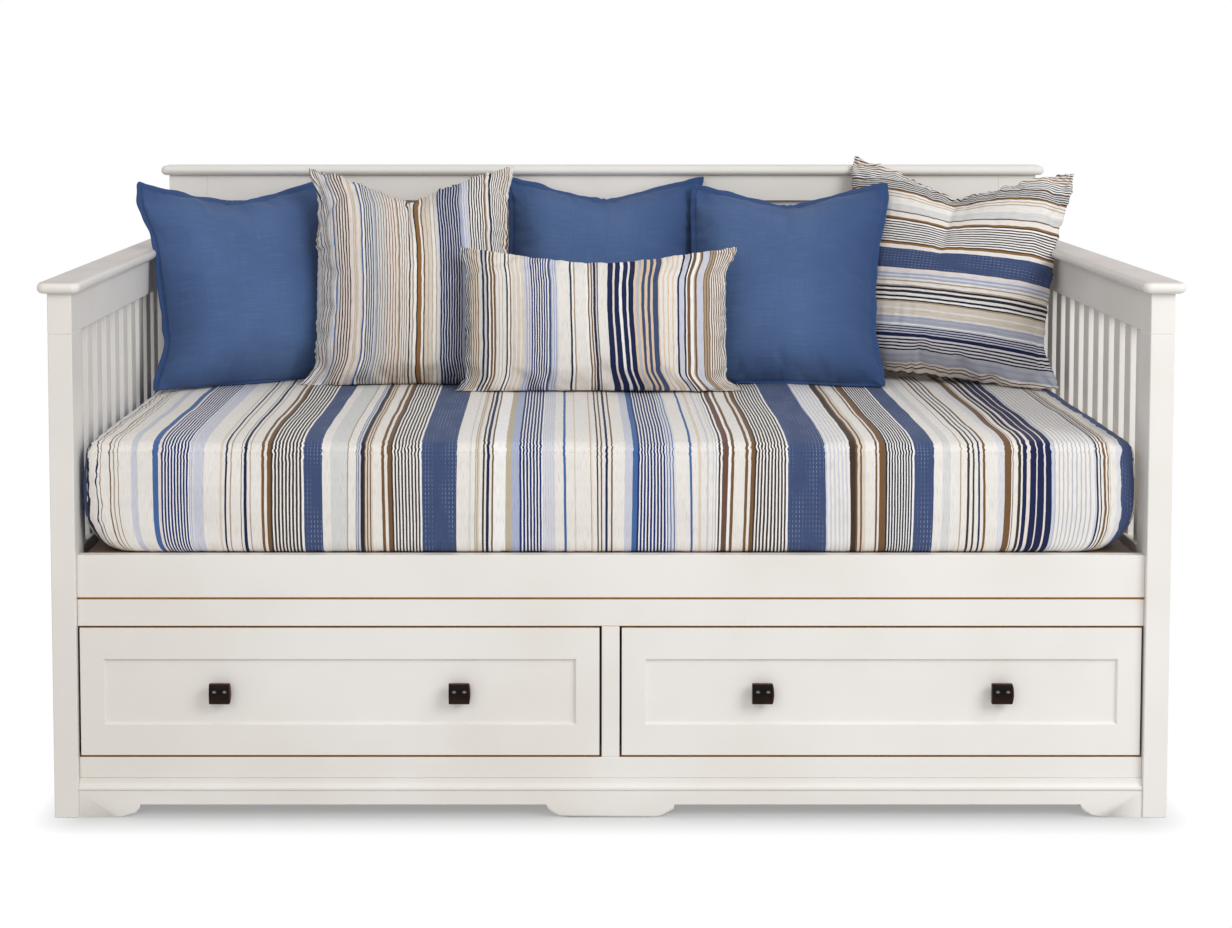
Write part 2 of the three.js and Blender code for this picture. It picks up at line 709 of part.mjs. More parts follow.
// Shapes. dip is the sag of the top edge, chop how blunt its point is and arch how hollow its
// slopes are. draw pulls in the left and the right side; ear gives the heights between which a
// side flares to its upper corner and foot where it starts to its lower one, as shares of half
// the height; lift and drop are how much of the draw those flares give back
const blue = { wide: blueWidth, tall: blueHeight, thick: squareThick, drop: 1,
  arch: 0.9, valley: 0.15, lift: 1, foot: 0.6 };
const striped = { wide: stripedWidth, tall: stripedHeight, thick: squareThick, drop: 1,
  arch: 0.85, chop: 0.12, valley: 0.3 };

// Places on the mattress, for the middle of a pillow's lower edge: across as a share of half
// the mattress, and out from the face of the back as a share of a square pillow's thickness
const pillows = [
  { name: 'blue_pillow_left', cloth: blueLinen,
    shape: { ...blue, wide: wideBlueWidth, dip: 46, chop: 0.5, draw: [40, 20], ear: [0.36, 0.8],
      foot: 0.45, lift: 0.9, drop: 1.35 },
    acrossShare: -0.777, outShare: 1.56, yaw: 31, lean: 18, roll: 0 },
  { name: 'striped_pillow_left', cloth: stripes,
    shape: { ...striped, dip: 76, draw: [30, 24], ear: [0.66, 1], foot: 0.72, lift: 0.5 },
    acrossShare: -0.44, outShare: 1.71, yaw: 0, lean: 17, roll: 0.6 },
  { name: 'blue_pillow_centre', cloth: blueLinen,
    shape: { ...blue, dip: 50, chop: 0.3, draw: [16, 16], ear: [0.7, 1] },
    acrossShare: 0.007, outShare: 0.99, yaw: 0, lean: 17, roll: 0 },
  { name: 'blue_pillow_right', cloth: blueLinen,
    shape: { ...blue, dip: 56, chop: 0.2, draw: [10, 29], ear: [0.1, 0.95], foot: 0.4 },
    acrossShare: 0.4, outShare: 1.75, yaw: -12, lean: 23, roll: -1.3 },
  { name: 'striped_pillow_right', cloth: stripes,
    shape: { ...striped, wide: wideStripedWidth, dip: 84, draw: [20, 34], ear: [0.3, 0.95],
      foot: 0.6, lift: 1.1, drop: 1.8 },
    acrossShare: 0.747, outShare: 1.42, yaw: -24, lean: 16, roll: 3.5 },
  { name: 'striped_lumbar_pillow', cloth: stripes,
    shape: { ...striped, wide: lumbarWidth, tall: lumbarHeight, thick: lumbarThick, dip: 28,
      chop: 0.4, arch: 1, draw: [14, 26], ear: [0.55, 1], foot: 0.75, lift: 1, valley: 0.1 },
    acrossShare: -0.016, outShare: 2.30, yaw: 0, lean: 13, roll: 0 },
];

for (const pillow of pillows) {
  const place = {
    x: (pillow.acrossShare * mattressLength) / 2,
    y: backFaceY - pillow.outShare * squareThick,
    yaw: pillow.yaw,
    lean: pillow.lean,
    roll: pillow.roll,
  };
  add(model, pillow.name, restPillow(pillowGeometry(pillow.shape), place), pillow.cloth);
}

export default model;
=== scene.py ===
import json
import math

import bmesh
import bpy
from mathutils import Matrix, Vector, noise


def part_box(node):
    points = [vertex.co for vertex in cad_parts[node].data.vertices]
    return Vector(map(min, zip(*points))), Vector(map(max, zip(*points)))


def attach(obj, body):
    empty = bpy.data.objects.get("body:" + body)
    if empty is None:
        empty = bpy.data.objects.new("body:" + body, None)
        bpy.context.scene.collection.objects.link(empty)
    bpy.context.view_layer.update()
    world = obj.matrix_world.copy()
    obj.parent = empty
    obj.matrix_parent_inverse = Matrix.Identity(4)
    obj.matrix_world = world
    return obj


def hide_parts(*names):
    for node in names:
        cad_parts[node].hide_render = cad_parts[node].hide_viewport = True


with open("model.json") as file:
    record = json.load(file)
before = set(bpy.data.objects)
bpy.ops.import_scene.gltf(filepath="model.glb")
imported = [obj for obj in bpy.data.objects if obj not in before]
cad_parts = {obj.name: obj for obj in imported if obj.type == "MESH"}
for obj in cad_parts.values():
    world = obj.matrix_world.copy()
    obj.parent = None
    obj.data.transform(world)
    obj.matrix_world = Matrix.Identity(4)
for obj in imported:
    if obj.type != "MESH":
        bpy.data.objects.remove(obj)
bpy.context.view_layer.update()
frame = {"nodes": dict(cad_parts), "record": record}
nodes = frame["nodes"]
mm = 0.001


# Colours as they are named at the mill
def tint(code):
    channels = [int(code[i:i + 2], 16) / 255 for i in (0, 2, 4)]
    linear = [c / 12.92 if c < 0.04045 else ((c + 0.055) / 1.055) ** 2.4 for c in channels]
    return (*linear, 1.0)


yarnCard = """
    cream E9E4DE, white F3F1EE, grey D5D5D3, tan AD9A82, khaki BFB29A, sand DACFC1,
    brown 745639, coffee 41342E, navy 1C254A, ink 282A3A, denim 415075, mid 46689D,
    sky ACB3CB, pale CBCCD7, lilac DAD8DC, blush E6DAD3, caramel 90683F, peach DFC6A6,
    haze A9AFC3, mist B8BAC3, royal 1E2D66, umber 6A4D43
"""
yarns = {name: tint(code) for name, code in map(str.split, yarnCard.split(","))}


def operator(kind, turned=False):
    return lambda one, other: one.math(kind, *((other, one) if turned else (one, other)))


# Shader maths as expressions: a Wire is one output socket of a material's tree
class Wire:
    def __init__(self, tree, socket):
        self.tree = tree
        self.socket = socket

    # A new node; inputs are wires, numbers or the codes of colours
    def make(self, kind, inputs=None, settings=None, out=0):
        node = self.tree.nodes.new("ShaderNode" + kind)
        for key, value in (settings or {}).items():
            setattr(node, key, value)
        for key, value in (inputs or {}).items():
            if isinstance(value, Wire):
                self.tree.links.new(value.socket, node.inputs[key])
            else:
                node.inputs[key].default_value = tint(value) if isinstance(value, str) else value
        return Wire(self.tree, node.outputs[out])

    def math(self, operation, *values):
        return self.make("Math", dict(enumerate(values)), {"operation": operation})

    __add__, __radd__ = operator("ADD"), operator("ADD", True)
    __sub__, __rsub__ = operator("SUBTRACT"), operator("SUBTRACT", True)
    __mul__, __rmul__ = operator("MULTIPLY"), operator("MULTIPLY", True)
    __gt__, __lt__ = operator("GREATER_THAN"), operator("LESS_THAN")

    def fraction(self):
        return self.math("FRACT", self)

    def between(self, low, high):
        return (self > low) * (self < high)

    def fade(self, low, high, outLow=0.0, outHigh=1.0):
        limits = {"From Min": low, "From Max": high, "To Min": outLow, "To Max": outHigh}
        return self.make("MapRange", {"Value": self, **limits})

    def parts(self):
        return [self.make("SeparateXYZ", {"Vector": self}, None, out) for out in range(3)]

    def joined(self, x, y, z):
        return self.make("CombineXYZ", {"X": x, "Y": y, "Z": z})

    def stretched(self, scale):
        return self.make("Mapping", {"Vector": self, "Scale": scale})

    def place(self, mapping="Object"):
        if mapping == "Object":
            return self.make("TexCoord", out=3)
        return self.make("UVMap", None, {"uv_map": mapping})

    def cloud(self, place, scale, detail=2.0, rough=0.5):
        sizes = {"Scale": scale, "Detail": detail, "Roughness": rough}
        return self.make("TexNoise", {"Vector": place, **sizes})

    def over(self, base, top, mask, blend="MIX"):
        settings = {"data_type": "RGBA", "blend_type": blend}
        return self.make("Mix", {0: mask, 6: base, 7: top}, settings, 2)

    # Colours of a look laid one over the other, each by its mask
    def layered(self, look, first, *layers):
        colour = look[first]
        for name, mask in layers:
            colour = self.over(colour, look[name], mask)
        return colour

    # What a finish returns: a colour, a roughness that follows one field, and a relief
    def surface(self, look, colour, field, height, strength=0.5):
        bump = {"Height": height, "Distance": look["depth"], "Strength": strength}
        return {"Base Color": colour, "Roughness": field.fade(0.3, 0.7, *look["rough"]),
                "Normal": self.make("Bump", bump)}

    def ramp(self, stops):
        wire = self.make("ValToRGB", {"Fac": self})
        ramp = wire.socket.node.color_ramp
        ramp.interpolation = "CONSTANT"
        while len(ramp.elements) < len(stops):
            ramp.elements.new(1.0)
        for element, (place, colour) in zip(ramp.elements, stops):
            element.position = place
            element.color = colour
        return wire


# A new material with a Principled shader; finish(wire, place) returns what its sockets get
def newMaterial(name, finish, fixed, mapping="Object"):
    material = bpy.data.materials.new(name)
    material.use_nodes = True
    tree = material.node_tree
    shader = tree.nodes["Principled BSDF"]
    for key, value in fixed.items():
        shader.inputs[key].default_value = value
    start = Wire(tree, shader.outputs[0])
    for key, value in finish(start, start.place(mapping)).items():
        tree.links.new(value.socket, shader.inputs[key])
    return material


# Satin paint over wood: roller stipple, faint grain telegraphing through, soft tone drift
# The last four entries paint shade, in patches, on the flat tops of the arm caps
paintLook = {"colour": "E9E5E0", "shade": "E2DDD6", "rough": (0.39, 0.46),
             "drift": 3.0, "stipple": 900.0, "grain": 4.0, "grainStretch": (6.0, 60.0, 60.0),
             "depth": 0.00008, "capTopShade": "C0B5AF", "capTopShadeFrom": 0.9885,
             "capTopShadeFull": 0.9926, "capTopShadePatch": 6.0}
paintFixed = {"Specular IOR Level": 0.45}


def paintFinish(wire, place):
    drift = wire.cloud(place, paintLook["drift"], 3.0)
    stipple = wire.cloud(place, paintLook["stipple"])
    grain = wire.cloud(place.stretched(paintLook["grainStretch"]), paintLook["grain"], 3.0)
    colour = wire.layered(paintLook, "shade", ("colour", drift.fade(0.35, 0.62)))
    return wire.surface(paintLook, colour, drift, stipple * 0.6 + grain * 0.4)


paint = newMaterial("satinPaint", paintFinish, paintFixed)


# Painted shade: the flat top of the arm caps is greyer, in patches, standing in for the lesser
# light on top faces
def capTopShadeFinish(wire, place):
    sockets = paintFinish(wire, place)
    height = place.parts()[2]
    patches = wire.cloud(place, paintLook["capTopShadePatch"], 3.0).fade(0.3, 0.7, 0.75, 1.0)
    paintedLight = height.fade(paintLook["capTopShadeFrom"], paintLook["capTopShadeFull"]) * patches
    sockets["Base Color"] = wire.over(sockets["Base Color"], paintLook["capTopShade"], paintedLight)
    return sockets


capTopShadePaint = newMaterial("capTopShadePaint", capTopShadeFinish, paintFixed)

# Plain boards. The flat edges of the drawer fronts and rails, inside the narrow gaps, are bare
# wood whose golden brown is also painted shade in those gaps; the upright edges of the drawer
# fronts are painted near black as shadow in the gaps beside them; and the boards under the
# mattress are brown hardboard with a waxed face, dark also as painted shade in the gaps at the
# mattress corners
edgeLook = {"patch": 60.0, "detail": 3.0, "gloss": 40.0, "rough": (0.6, 0.75), "pores": 800.0,
            "depth": 0.00008}
boardLook = {"patch": 130.0, "detail": 4.0, "gloss": 12.0, "rough": (0.5, 0.65), "pores": 900.0,
             "depth": 0.0001}


def plainBoard(name, dark, light, look):
    def finish(wire, place):
        colour = wire.over(dark, light, wire.cloud(place, look["patch"], look["detail"]))
        gloss, pores = [wire.cloud(place, look[name]) for name in ("gloss", "pores")]
        return wire.surface(look, colour, gloss, pores)
    return newMaterial(name, finish, {})


bareEdgeAndShade = plainBoard("bareEdgeAndShade", "B88650", "CE9F66", edgeLook)
paintedShadowEdge = plainBoard("paintedShadowEdge", "20120B", "2E1B11", edgeLook)
hardboardAndShade = plainBoard("hardboardAndShade", "54412F", "6B543E", boardLook)

# Unpainted wood inside the case and the drawers, with its grain along one axis
woodLook = {"light": "CBAA7C", "dark": "A97F51", "warp": 5.0, "ring": 46.0,
            "pores": 700.0, "stretch": 0.06, "rough": (0.55, 0.7), "depth": 0.0002}


def woodFinish(along):
    def finish(wire, place):
        scale = [1.0, 1.0, 1.0]
        scale[along] = woodLook["stretch"]
        laid = place.stretched(scale)
        warp = wire.cloud(laid, woodLook["warp"], 3.0)
        rings = wire.cloud(laid, woodLook["ring"], 4.0, 0.6)
        pores = wire.cloud(laid, woodLook["pores"], 1.0)
        colour = wire.layered(woodLook, "dark", ("light", (rings + warp * 0.5).fade(0.5, 0.95)),
                              ("dark", pores.fade(0.62, 0.72, 0.0, 0.5)))
        return wire.surface(woodLook, colour, rings, rings - pores.fade(0.6, 0.7) * 0.5)
    return finish


woods = [newMaterial("bareWood" + "XYZ"[along], woodFinish(along), {}) for along in range(3)]

# Oil-rubbed bronze: nearly black, rubbed brown at the foot and the edges of the head, with two
# painted highlights on its face. Places on the face run from 0 to 1 across and up
bronzeLook = {"dark": "120F0E", "rubbed": "33221A", "edge": "57301B",
              "paintedLight": "8E8E90", "rough": (0.34, 0.5), "patch": 70.0, "pits": 1500.0,
              "depth": 0.0001, "paintedHighlights": ((0.27, 0.63), (0.77, 0.63)), "spotCore": 0.02,
              "spotReach": 0.12, "spotFlat": 2.2, "foot": (0.62, 0.2)}


def bronzeFinish(wire, place):
    patches = wire.cloud(place, bronzeLook["patch"], 3.0)
    pits = wire.cloud(place, bronzeLook["pits"])
    u, v = wire.place("grip").parts()[:2]
    warm = v.fade(*bronzeLook["foot"], 0.0, 0.7) * patches.fade(0.3, 0.6, 0.4, 1.0)
    rim = v.fade(0.965, 0.99) + u.fade(0.975, 0.995) * 0.8 + u.fade(0.02, 0.0) * 0.5
    layers = [("rubbed", warm), ("edge", rim * patches.fade(0.25, 0.6, 0.4, 1.0))]
    # Two painted highlights, lighter spots that stand in for the lamps' reflections
    for spotU, spotV in bronzeLook["paintedHighlights"]:
        du, dv = u - spotU, v - spotV
        far = u.math("SQRT", du * du + dv * dv * bronzeLook["spotFlat"])
        spot = far.fade(bronzeLook["spotCore"], bronzeLook["spotReach"], 0.85, 0.0)
        layers.append(("paintedLight", spot))
    colour = wire.layered(bronzeLook, "dark", *layers)
    return wire.surface(bronzeLook, colour, patches, pits, 0.4)


bronze = newMaterial("rubbedBronze", bronzeFinish, {"Metallic": 0.75, "Specular IOR Level": 0.25})

# Blue linen: slubs along both threads, a plain weave and a stitched seam inside the flange.
# Painted shade darkens the flange, the seam groove, and the cloth where the sides and the ends
# turn away, most on the right side
linenLook = {"blue": "4E6893", "deep": "475F8A", "pale": "627AA1",
             "stitch": "2E4472", "rim": "375080", "paintedShade": "324A75",
             "slub": (900.0, 14.0), "drift": 5.0, "thread": 0.0011, "depth": 0.0004,
             "flange": 0.014, "halfWide": 0.223, "halfTall": 0.237, "dashes": 270.0,
             "dash": 0.62, "stitchBand": (0.0016, 0.0003), "grooveBand": (0.0018, -0.0006),
             "sideReach": 0.09, "rightReach": 0.16, "sideShadeShare": 0.5, "rightShadeShare": 0.9,
             "endReach": 0.04, "endShadeShare": 0.4, "rough": (0.88, 0.98)}


# A field of noise, stretched by its own scales across and along the warp
def clothCloud(wire, u, v, w, scales, detail=2.0):
    return wire.cloud(wire.joined(u * scales[0], v * scales[1], w), 1.0, detail)


# A plain weave of crossing threads, thread being the width of two of them
def wovenHeight(u, v, thread):
    pitch = 2 * math.pi / thread
    return (u * pitch).math("SINE", u * pitch) * (v * pitch).math("SINE", v * pitch)


def linenFinish(wire, place):
    u, v, w = place.parts()
    warp = clothCloud(wire, u, v, w, linenLook["slub"])
    weft = clothCloud(wire, u, v, w, linenLook["slub"][::-1])
    drift = wire.cloud(place, linenLook["drift"])
    tone = warp * 0.35 + weft * 0.65
    weave = wovenHeight(u, v, linenLook["thread"])
    across = linenLook["halfWide"] - u.math("ABSOLUTE", u)
    along = linenLook["halfTall"] - v.math("ABSOLUTE", v)
    edge = across.math("MINIMUM", across, along)
    flange = linenLook["flange"]
    thread, groove = [edge.between(flange - linenLook[band][0], flange - linenLook[band][1])
                      for band in ("stitchBand", "grooveBand")]
    dashes = ((u + v) * linenLook["dashes"]).fraction() < linenLook["dash"]
    # Painted shade towards the sides and the ends, deeper and wider on the right side
    right = u > 0.0
    reach = right * (linenLook["rightReach"] - linenLook["sideReach"]) + linenLook["sideReach"]
    paintedShade = right * (linenLook["rightShadeShare"] - linenLook["sideShadeShare"]) + linenLook["sideShadeShare"]
    sideShade = across.fade(flange, reach + flange, 1.0, 0.0) * paintedShade
    endShade = along.fade(flange, flange + linenLook["endReach"], linenLook["endShadeShare"], 0.0)
    colour = wire.layered(linenLook, "deep", ("blue", drift.fade(0.35, 0.65)),
                          ("pale", tone.fade(0.52, 0.66, 0.0, 0.7)),
                          ("deep", tone.fade(0.48, 0.36, 0.0, 0.6)),
                          # Painted shade: the flange is darker than the body
                          ("rim", edge.fade(flange - 0.001, flange, 0.75, 0.0)),
                          # The stitch thread is the cloth's own; the dark line in the seam groove
                          # is painted shadow
                          ("stitch", thread * dashes * 0.9), ("stitch", groove * 0.6),
                          ("paintedShade", sideShade), ("paintedShade", endShade))
    height = weave * 0.3 + tone * 1.3 - groove * 1.6 + thread * dashes * 1.2
    return wire.surface(linenLook, colour, tone, height, 0.6)


linenFixed = {"Sheen Weight": 0.12, "Sheen Roughness": 0.5, "Specular IOR Level": 0.2}
linen = newMaterial("blueLinen", linenFinish, linenFixed, "cloth")


# Striped cotton. A warp plan is read from left to right in picks: a plain band is a yarn and
# its width, a lined band adds how many lines, their yarn and the share of each that they take
def readPlan(text):
    plan = []
    for item in text.split(","):
        yarn, width, *lines = item.split()
        band = (yarn, float(width))
        if lines:
            band += (int(lines[0]), lines[1], float(lines[2]))
        plan.append(band)
    return plan


bedPlan = readPlan("""
    denim 3, cream 6 2 brown .42, ink 3, cream 9, navy 1.6, cream 2.4, brown 1, cream 8,
    brown 1, cream 2.6, tan 1.4, cream 3, brown 1.2, cream 12, pale 7, cream 15, mid 6, blush 3,
    white 28 9 royal .6, lilac 4 2 sky .4, pale 10, cream 16, sand 2, cream 3, navy 2, cream 3,
    tan 1.6, cream 9, coffee 1, cream 2, navy 2.4, cream 3, tan 1, cream 10, brown 3, cream 3,
    brown 4, white 32 9 coffee .58, denim 18, cream 9, grey 17, cream 3 1 tan .4, cream 6,
    pale 4 2 navy .3, ink 4, sand 8 3 brown .42, cream 8, brown 3.4, cream 2.6, brown 4,
    white 30 9 coffee .54, denim 35, cream 13, grey 1, cream 5, sand 4 2 tan .4, cream 3,
    coffee 1.6, cream 2.4, navy 3, cream 2, brown 1.4, white 12, khaki 6, sky 8,
    white 23 7 royal .6, lilac 12 5 pale .5, cream 8, mid 2, cream 8, sand 2, cream 14, tan 1,
    blush 2, cream 4, coffee 1.6, cream 2.6, brown 1.2, cream 3, navy 3, cream 3, brown 1.6,
    cream 12, pale 8, mid 5.4, white 28 9 royal .6, lilac 9 3 mid .35, cream 13, mid 2.6,
    cream 7, sand 2, cream 6, pale 2, cream 4, sand 1.4, cream 1.4, haze 1.2, white 2.4,
    coffee 1.2, white 2.4, umber 5.4, white 3, brown 3, cream 11, brown 3, cream 3, brown 4,
    white 32 10 coffee .56, denim 37, cream 24 6 pale .4, coffee 6, sand 9 2 brown .42,
    cream 10, brown 2, cream 2, brown 7, white 28 10 ink .58, denim 20, cream 9, grey 8,
    cream 9, tan 1, cream 6, coffee 2, cream 3, coffee 2, cream 3, navy 2, cream 3, brown 2,
    cream 13, lilac 7, brown 6, cream 4 2 brown .42, cream 3, coffee 3, cream 2, navy 4,
    blush 3, navy 6, blush 1.4, navy 6, blush 1.6, navy 6, pale 3, cream 39 9 mist .3, pale 2,
    navy 1.6, cream 1.6, ink 1.6, cream 1.8, brown 2.6, cream 1.2, brown 1.2, cream 1.2,
    khaki .8, cream 6, lilac 6, denim 22, cream 20, brown 3, cream 14, navy 3, cream 60
""")
squarePlan = readPlan("""
    grey 4 1 tan .3, lilac 4 1 ink .25, brown 1.2, cream 2.4 1 tan .32, grey 4 2 ink .4,
    lilac 6 2 tan .2, mid 1.6, lilac 3 1 tan .3, blush 15 5 coffee .44, blush 2.6,
    sand 4 2 tan .25, blush 3, sand 1.4, mid 1.8, white 1.8, tan .8, grey 10 4 navy .4, haze 2,
    grey 11 4 brown .26, blush 12 4 brown .3, tan 1.6, cream 10 4 brown .3, coffee 1.6, cream 2,
    tan 1.2, white 3, coffee 1.2, caramel 3.6, white 2, brown 1.6, sand 3, tan .7, sand 3.4,
    tan .7, cream 3.4, grey 3 1 tan .3, pale 1.5, pale 21 8 navy .64, haze 4 1 navy .3,
    lilac 7 3 sky .4, white 15 6 coffee .5, brown 1.6, cream 4 1 tan .32, navy 1.4,
    white 9 4 coffee .45, cream 12 5 brown .4
""")
bolsterPlan = readPlan("""
    grey 9 4 ink .5, sand 9 4 brown .4, grey 1.7, ink 2, pale 2.1, coffee 2.2, white 1.6,
    brown 1.8, white 1.3, brown 1.8, cream 9.8 3 tan .15, ink 1.7, white 2.1, brown 1.4,
    sand 13 3 cream .3, pale 1.6, lilac 5 2 haze .5, white 16.4 7 royal .6, denim 2.6,
    lilac 7.5 3 sky .5, cream 12.8, ink 2, white 2, tan 1.6, cream 12, white 1.8, brown 1.4,
    cream 2, brown 1.2, cream 1.4, ink 2.2, pale 1.5, brown 1.2, cream 10.6, navy 6, blush 2,
    navy 5, white 2.6, navy 3.8, cream 2, navy 4.4, peach 2.2, mist 2.4, peach 2.2, denim 2.6,
    peach 2.5, denim 2.6, peach 2.2, denim 4.8, cream 16.5 4 peach .3, navy 2, pale 4.4,
    ink 1.6, white 1.2, brown 3, white 3.5, tan 1.3, brown 1.8, pale 6.8, tan 5.4 2 brown .3,
    cream 14 6 brown .45, cream 7 3 brown .4
""")
crossPlan = readPlan("""
    cream 9 3 brown .35, mist 13 2 haze .4, lilac 12.5 4 ink .5, navy 2.8, pale 9.5 4 navy .5,
    white 1.4, haze 7 2 mist .4, sand 13.5 2 cream .3, tan 1.4, ink 1.2, white 2.2, ink 2,
    cream 2.5, ink 2.7, cream 2.4, ink 2, cream 4.6 1 tan .3, tan 1.4, cream 2,
    lilac 7 2 haze .55, blush 2.6, denim 21.2, cream 4, caramel 2.4, white 23.5 9 coffee .5,
    coffee 1.2, caramel 2.2, cream 5.5, brown 1, grey 8, cream 7, cream 6 2 tan .3, caramel 1.4,
    grey 9 4 coffee .5, brown 1.4, white 9 4 ink .45, cream 16 6 brown .4
""")
clothLook = {"stops": 30, "thread": 0.0009, "broad": 17, "shade": "6E6A68",
             "sway": (9.0, 5.0), "shiver": (45.0, 26.0), "jog": (38.0, 70.0), "lean": 6.0,
             "jogReach": (0.004, 0.05), "jogSize": 0.008, "leanReach": (-0.01, -0.18),
             "leanSize": 0.035, "endReach": (0.90, 0.965), "endSize": 0.022,
             "slub": (1500.0, 40.0), "patch": (30.0, 9.0), "gathers": (110.0, 24.0),
             "stitchPitch": (0.0062, 0.0085), "stitch": (0.12, 0.55), "seamDrop": 0.016,
             "seam": (0.0004, 0.0016), "depth": 0.001, "rough": (0.86, 0.97)}


# The plan as ramps of plain bands, with the lined bands laid over them; pick is a pick's width
def wovenColour(wire, across, plan, pick):
    bands, lined, place = [], [], 0.0
    for entry in plan:
        bands.append((place, entry[0]))
        if len(entry) > 2:
            lined.append((place, *entry[1:]))
        place += entry[1]
    colour = None
    for first in range(0, len(bands), clothLook["stops"]):
        chunk = bands[first:first + clothLook["stops"]]
        low = chunk[0][0]
        last = first + len(chunk)
        high = bands[last][0] if last < len(bands) else place
        stops = [((at - low) / (high - low), yarns[yarn]) for at, yarn in chunk]
        ramp = across.fade(low * pick, high * pick).ramp(stops)
        colour = ramp if colour is None else wire.over(colour, ramp, across > low * pick)
    for low, width, count, yarn, share in lined:
        pitch = width * pick / count
        comb = ((across - low * pick) * (1 / pitch)).fraction() < share
        mask = comb * across.between(low * pick, (low + width) * pick)
        colour = wire.over(colour, yarns[yarn], mask)
    return colour


# The broad blue bands, which have a stitched row along each warp
def denimMask(across, plan, pick):
    place, mask = 0.0, None
    for entry in plan:
        if entry[0] == "denim" and entry[1] > clothLook["broad"]:
            band = across.between(place * pick, (place + entry[1]) * pick)
            mask = band if mask is None else mask + band
        place += entry[1]
    return mask


# crinkle is how far the lines wander, in metres; turned lays the warp across the piece; at the
# crease and at the ends of the bed they wander more; slant leans them, pull draws them aside
# near the top seam, and bow pushes them to the right at half height
plainCloth = {"turned": False, "crease": None, "slant": 0.0, "pull": None, "bow": None}


def warpPlace(wire, u, v, w, cloth):
    sway = clothCloud(wire, u, v, w, clothLook["sway"])
    shiver = clothCloud(wire, u, v, w, clothLook["shiver"])
    crinkle, crease = cloth["crinkle"], cloth["crease"]
    wander = (sway - 0.5) * (crinkle * 3.0) + (shiver - 0.5) * (crinkle * 2.2)
    if crease is not None:
        far = v.math("ABSOLUTE", v - crease)
        jog = clothCloud(wire, u, v, w, clothLook["jog"])
        wander = wander + (jog - 0.5) * far.fade(*clothLook["jogReach"], clothLook["jogSize"], 0.0)
        lean = wire.cloud(wire.joined(u * clothLook["lean"], 3.0, w), 1.0)
        low, high = [crease + reach for reach in clothLook["leanReach"]]
        wander = wander + (lean - 0.5) * v.fade(low, high, 0.0, clothLook["leanSize"])
        end = u.math("ABSOLUTE", u).fade(*clothLook["endReach"], 0.0, clothLook["endSize"])
        wander = wander + (shiver - 0.5) * end
    across = u - cloth["start"] + wander + v * cloth["slant"]
    bow, pull = cloth["bow"], cloth["pull"]
    if bow is not None:
        upright = v * v * (-1 / bow["half"] ** 2) + 1.0
        across = across - upright * u.fade(-bow["wide"], bow["wide"], bow["left"], bow["right"])
    if pull is not None:
        beside = u - pull["spot"]
        near = u.math("ABSOLUTE", beside).fade(0.0, pull["reach"], 1.0, 0.0)
        across = across + near * v.fade(pull["low"], pull["high"], 0.25, 1.0) * pull["shift"]
    return across


def stripedFinish(ownCloth):
    cloth = {**plainCloth, **ownCloth}

    def finish(wire, place):
        u, v, w = place.parts()
        if cloth["turned"]:
            u, v = v, u
        across = warpPlace(wire, u, v, w, cloth)
        colour = wovenColour(wire, across, cloth["plan"], cloth["pick"])
        slub = clothCloud(wire, u, v, w, clothLook["slub"], 1.0)
        colour = wire.over(colour, clothLook["shade"], slub.fade(0.5, 0.8, 0.0, 0.35), "MULTIPLY")
        blue = denimMask(across, cloth["plan"], cloth["pick"])
        if blue is not None:
            rows, dashes = [(way * (1 / pitch)).fraction() < share for way, pitch, share
                            in zip((u, v), clothLook["stitchPitch"], clothLook["stitch"])]
            patchy = clothCloud(wire, u, v, w, clothLook["patch"], 1.0).fade(0.4, 0.6, 0.0, 0.75)
            colour = wire.over(colour, yarns["sky"], blue * rows * dashes * patchy)
        weave = wovenHeight(u, v, clothLook["thread"])
        puckered = clothCloud(wire, u, v, w, clothLook["gathers"])
        height = weave * 0.06 + puckered * cloth["pucker"] + slub * 0.2
        if cloth["crease"] is not None:
            press = v.math("ABSOLUTE", v - cloth["crease"] + clothLook["seamDrop"])
            height = height - press.fade(*clothLook["seam"], 0.7, 0.0)
        return wire.surface(clothLook, colour, slub, height, 0.7)
    return finish


# start is where a plan begins, in metres from the middle of its piece
clothFixed = {"Sheen Weight": 0.06, "Sheen Roughness": 0.5, "Specular IOR Level": 0.2}
bedCloth = {"plan": bedPlan, "pick": 1.857 * mm, "start": -0.986, "crinkle": 0.0006,
            "pucker": 0.5, "crease": -0.522}
squareCloth = {"plan": squarePlan, "pick": 2.29 * mm, "start": -0.246, "crinkle": 0.0022,
               "pucker": 3.2, "slant": 0.030,
               "bow": {"half": 0.236, "wide": 0.2, "left": 0.018, "right": 0.012}}
bolsterCloth = {"plan": bolsterPlan, "pick": 2.265 * mm, "start": -0.298, "crinkle": 0.0012,
                "pucker": 1.8, "pull": {"spot": 0.045, "reach": 0.15, "low": -0.15,
                                        "high": 0.02, "shift": 0.021}}
crossCloth = {"plan": crossPlan, "pick": 2.221 * mm, "start": -0.246, "crinkle": 0.0014,
              "pucker": 2.6, "turned": True}
bedStripe, squareStripe, bolsterStripe, crossStripe = [
    newMaterial(name, stripedFinish(cloth), clothFixed, "cloth")
    for name, cloth in (("bedStripe", bedCloth), ("squareStripe", squareCloth),
                        ("bolsterStripe", bolsterCloth), ("crossStripe", crossCloth))]
print("materials made")


def dress(piece, material):
    piece.data.materials.clear()
    piece.data.materials.append(material)


def link(piece):
    bpy.context.scene.collection.objects.link(piece)
    return piece


def mode(kind):
    bpy.ops.object.mode_set(mode=kind)


def selectOnly(piece):
    bpy.ops.object.select_all(action="DESELECT")
    piece.select_set(True)
    bpy.context.view_layer.objects.active = piece


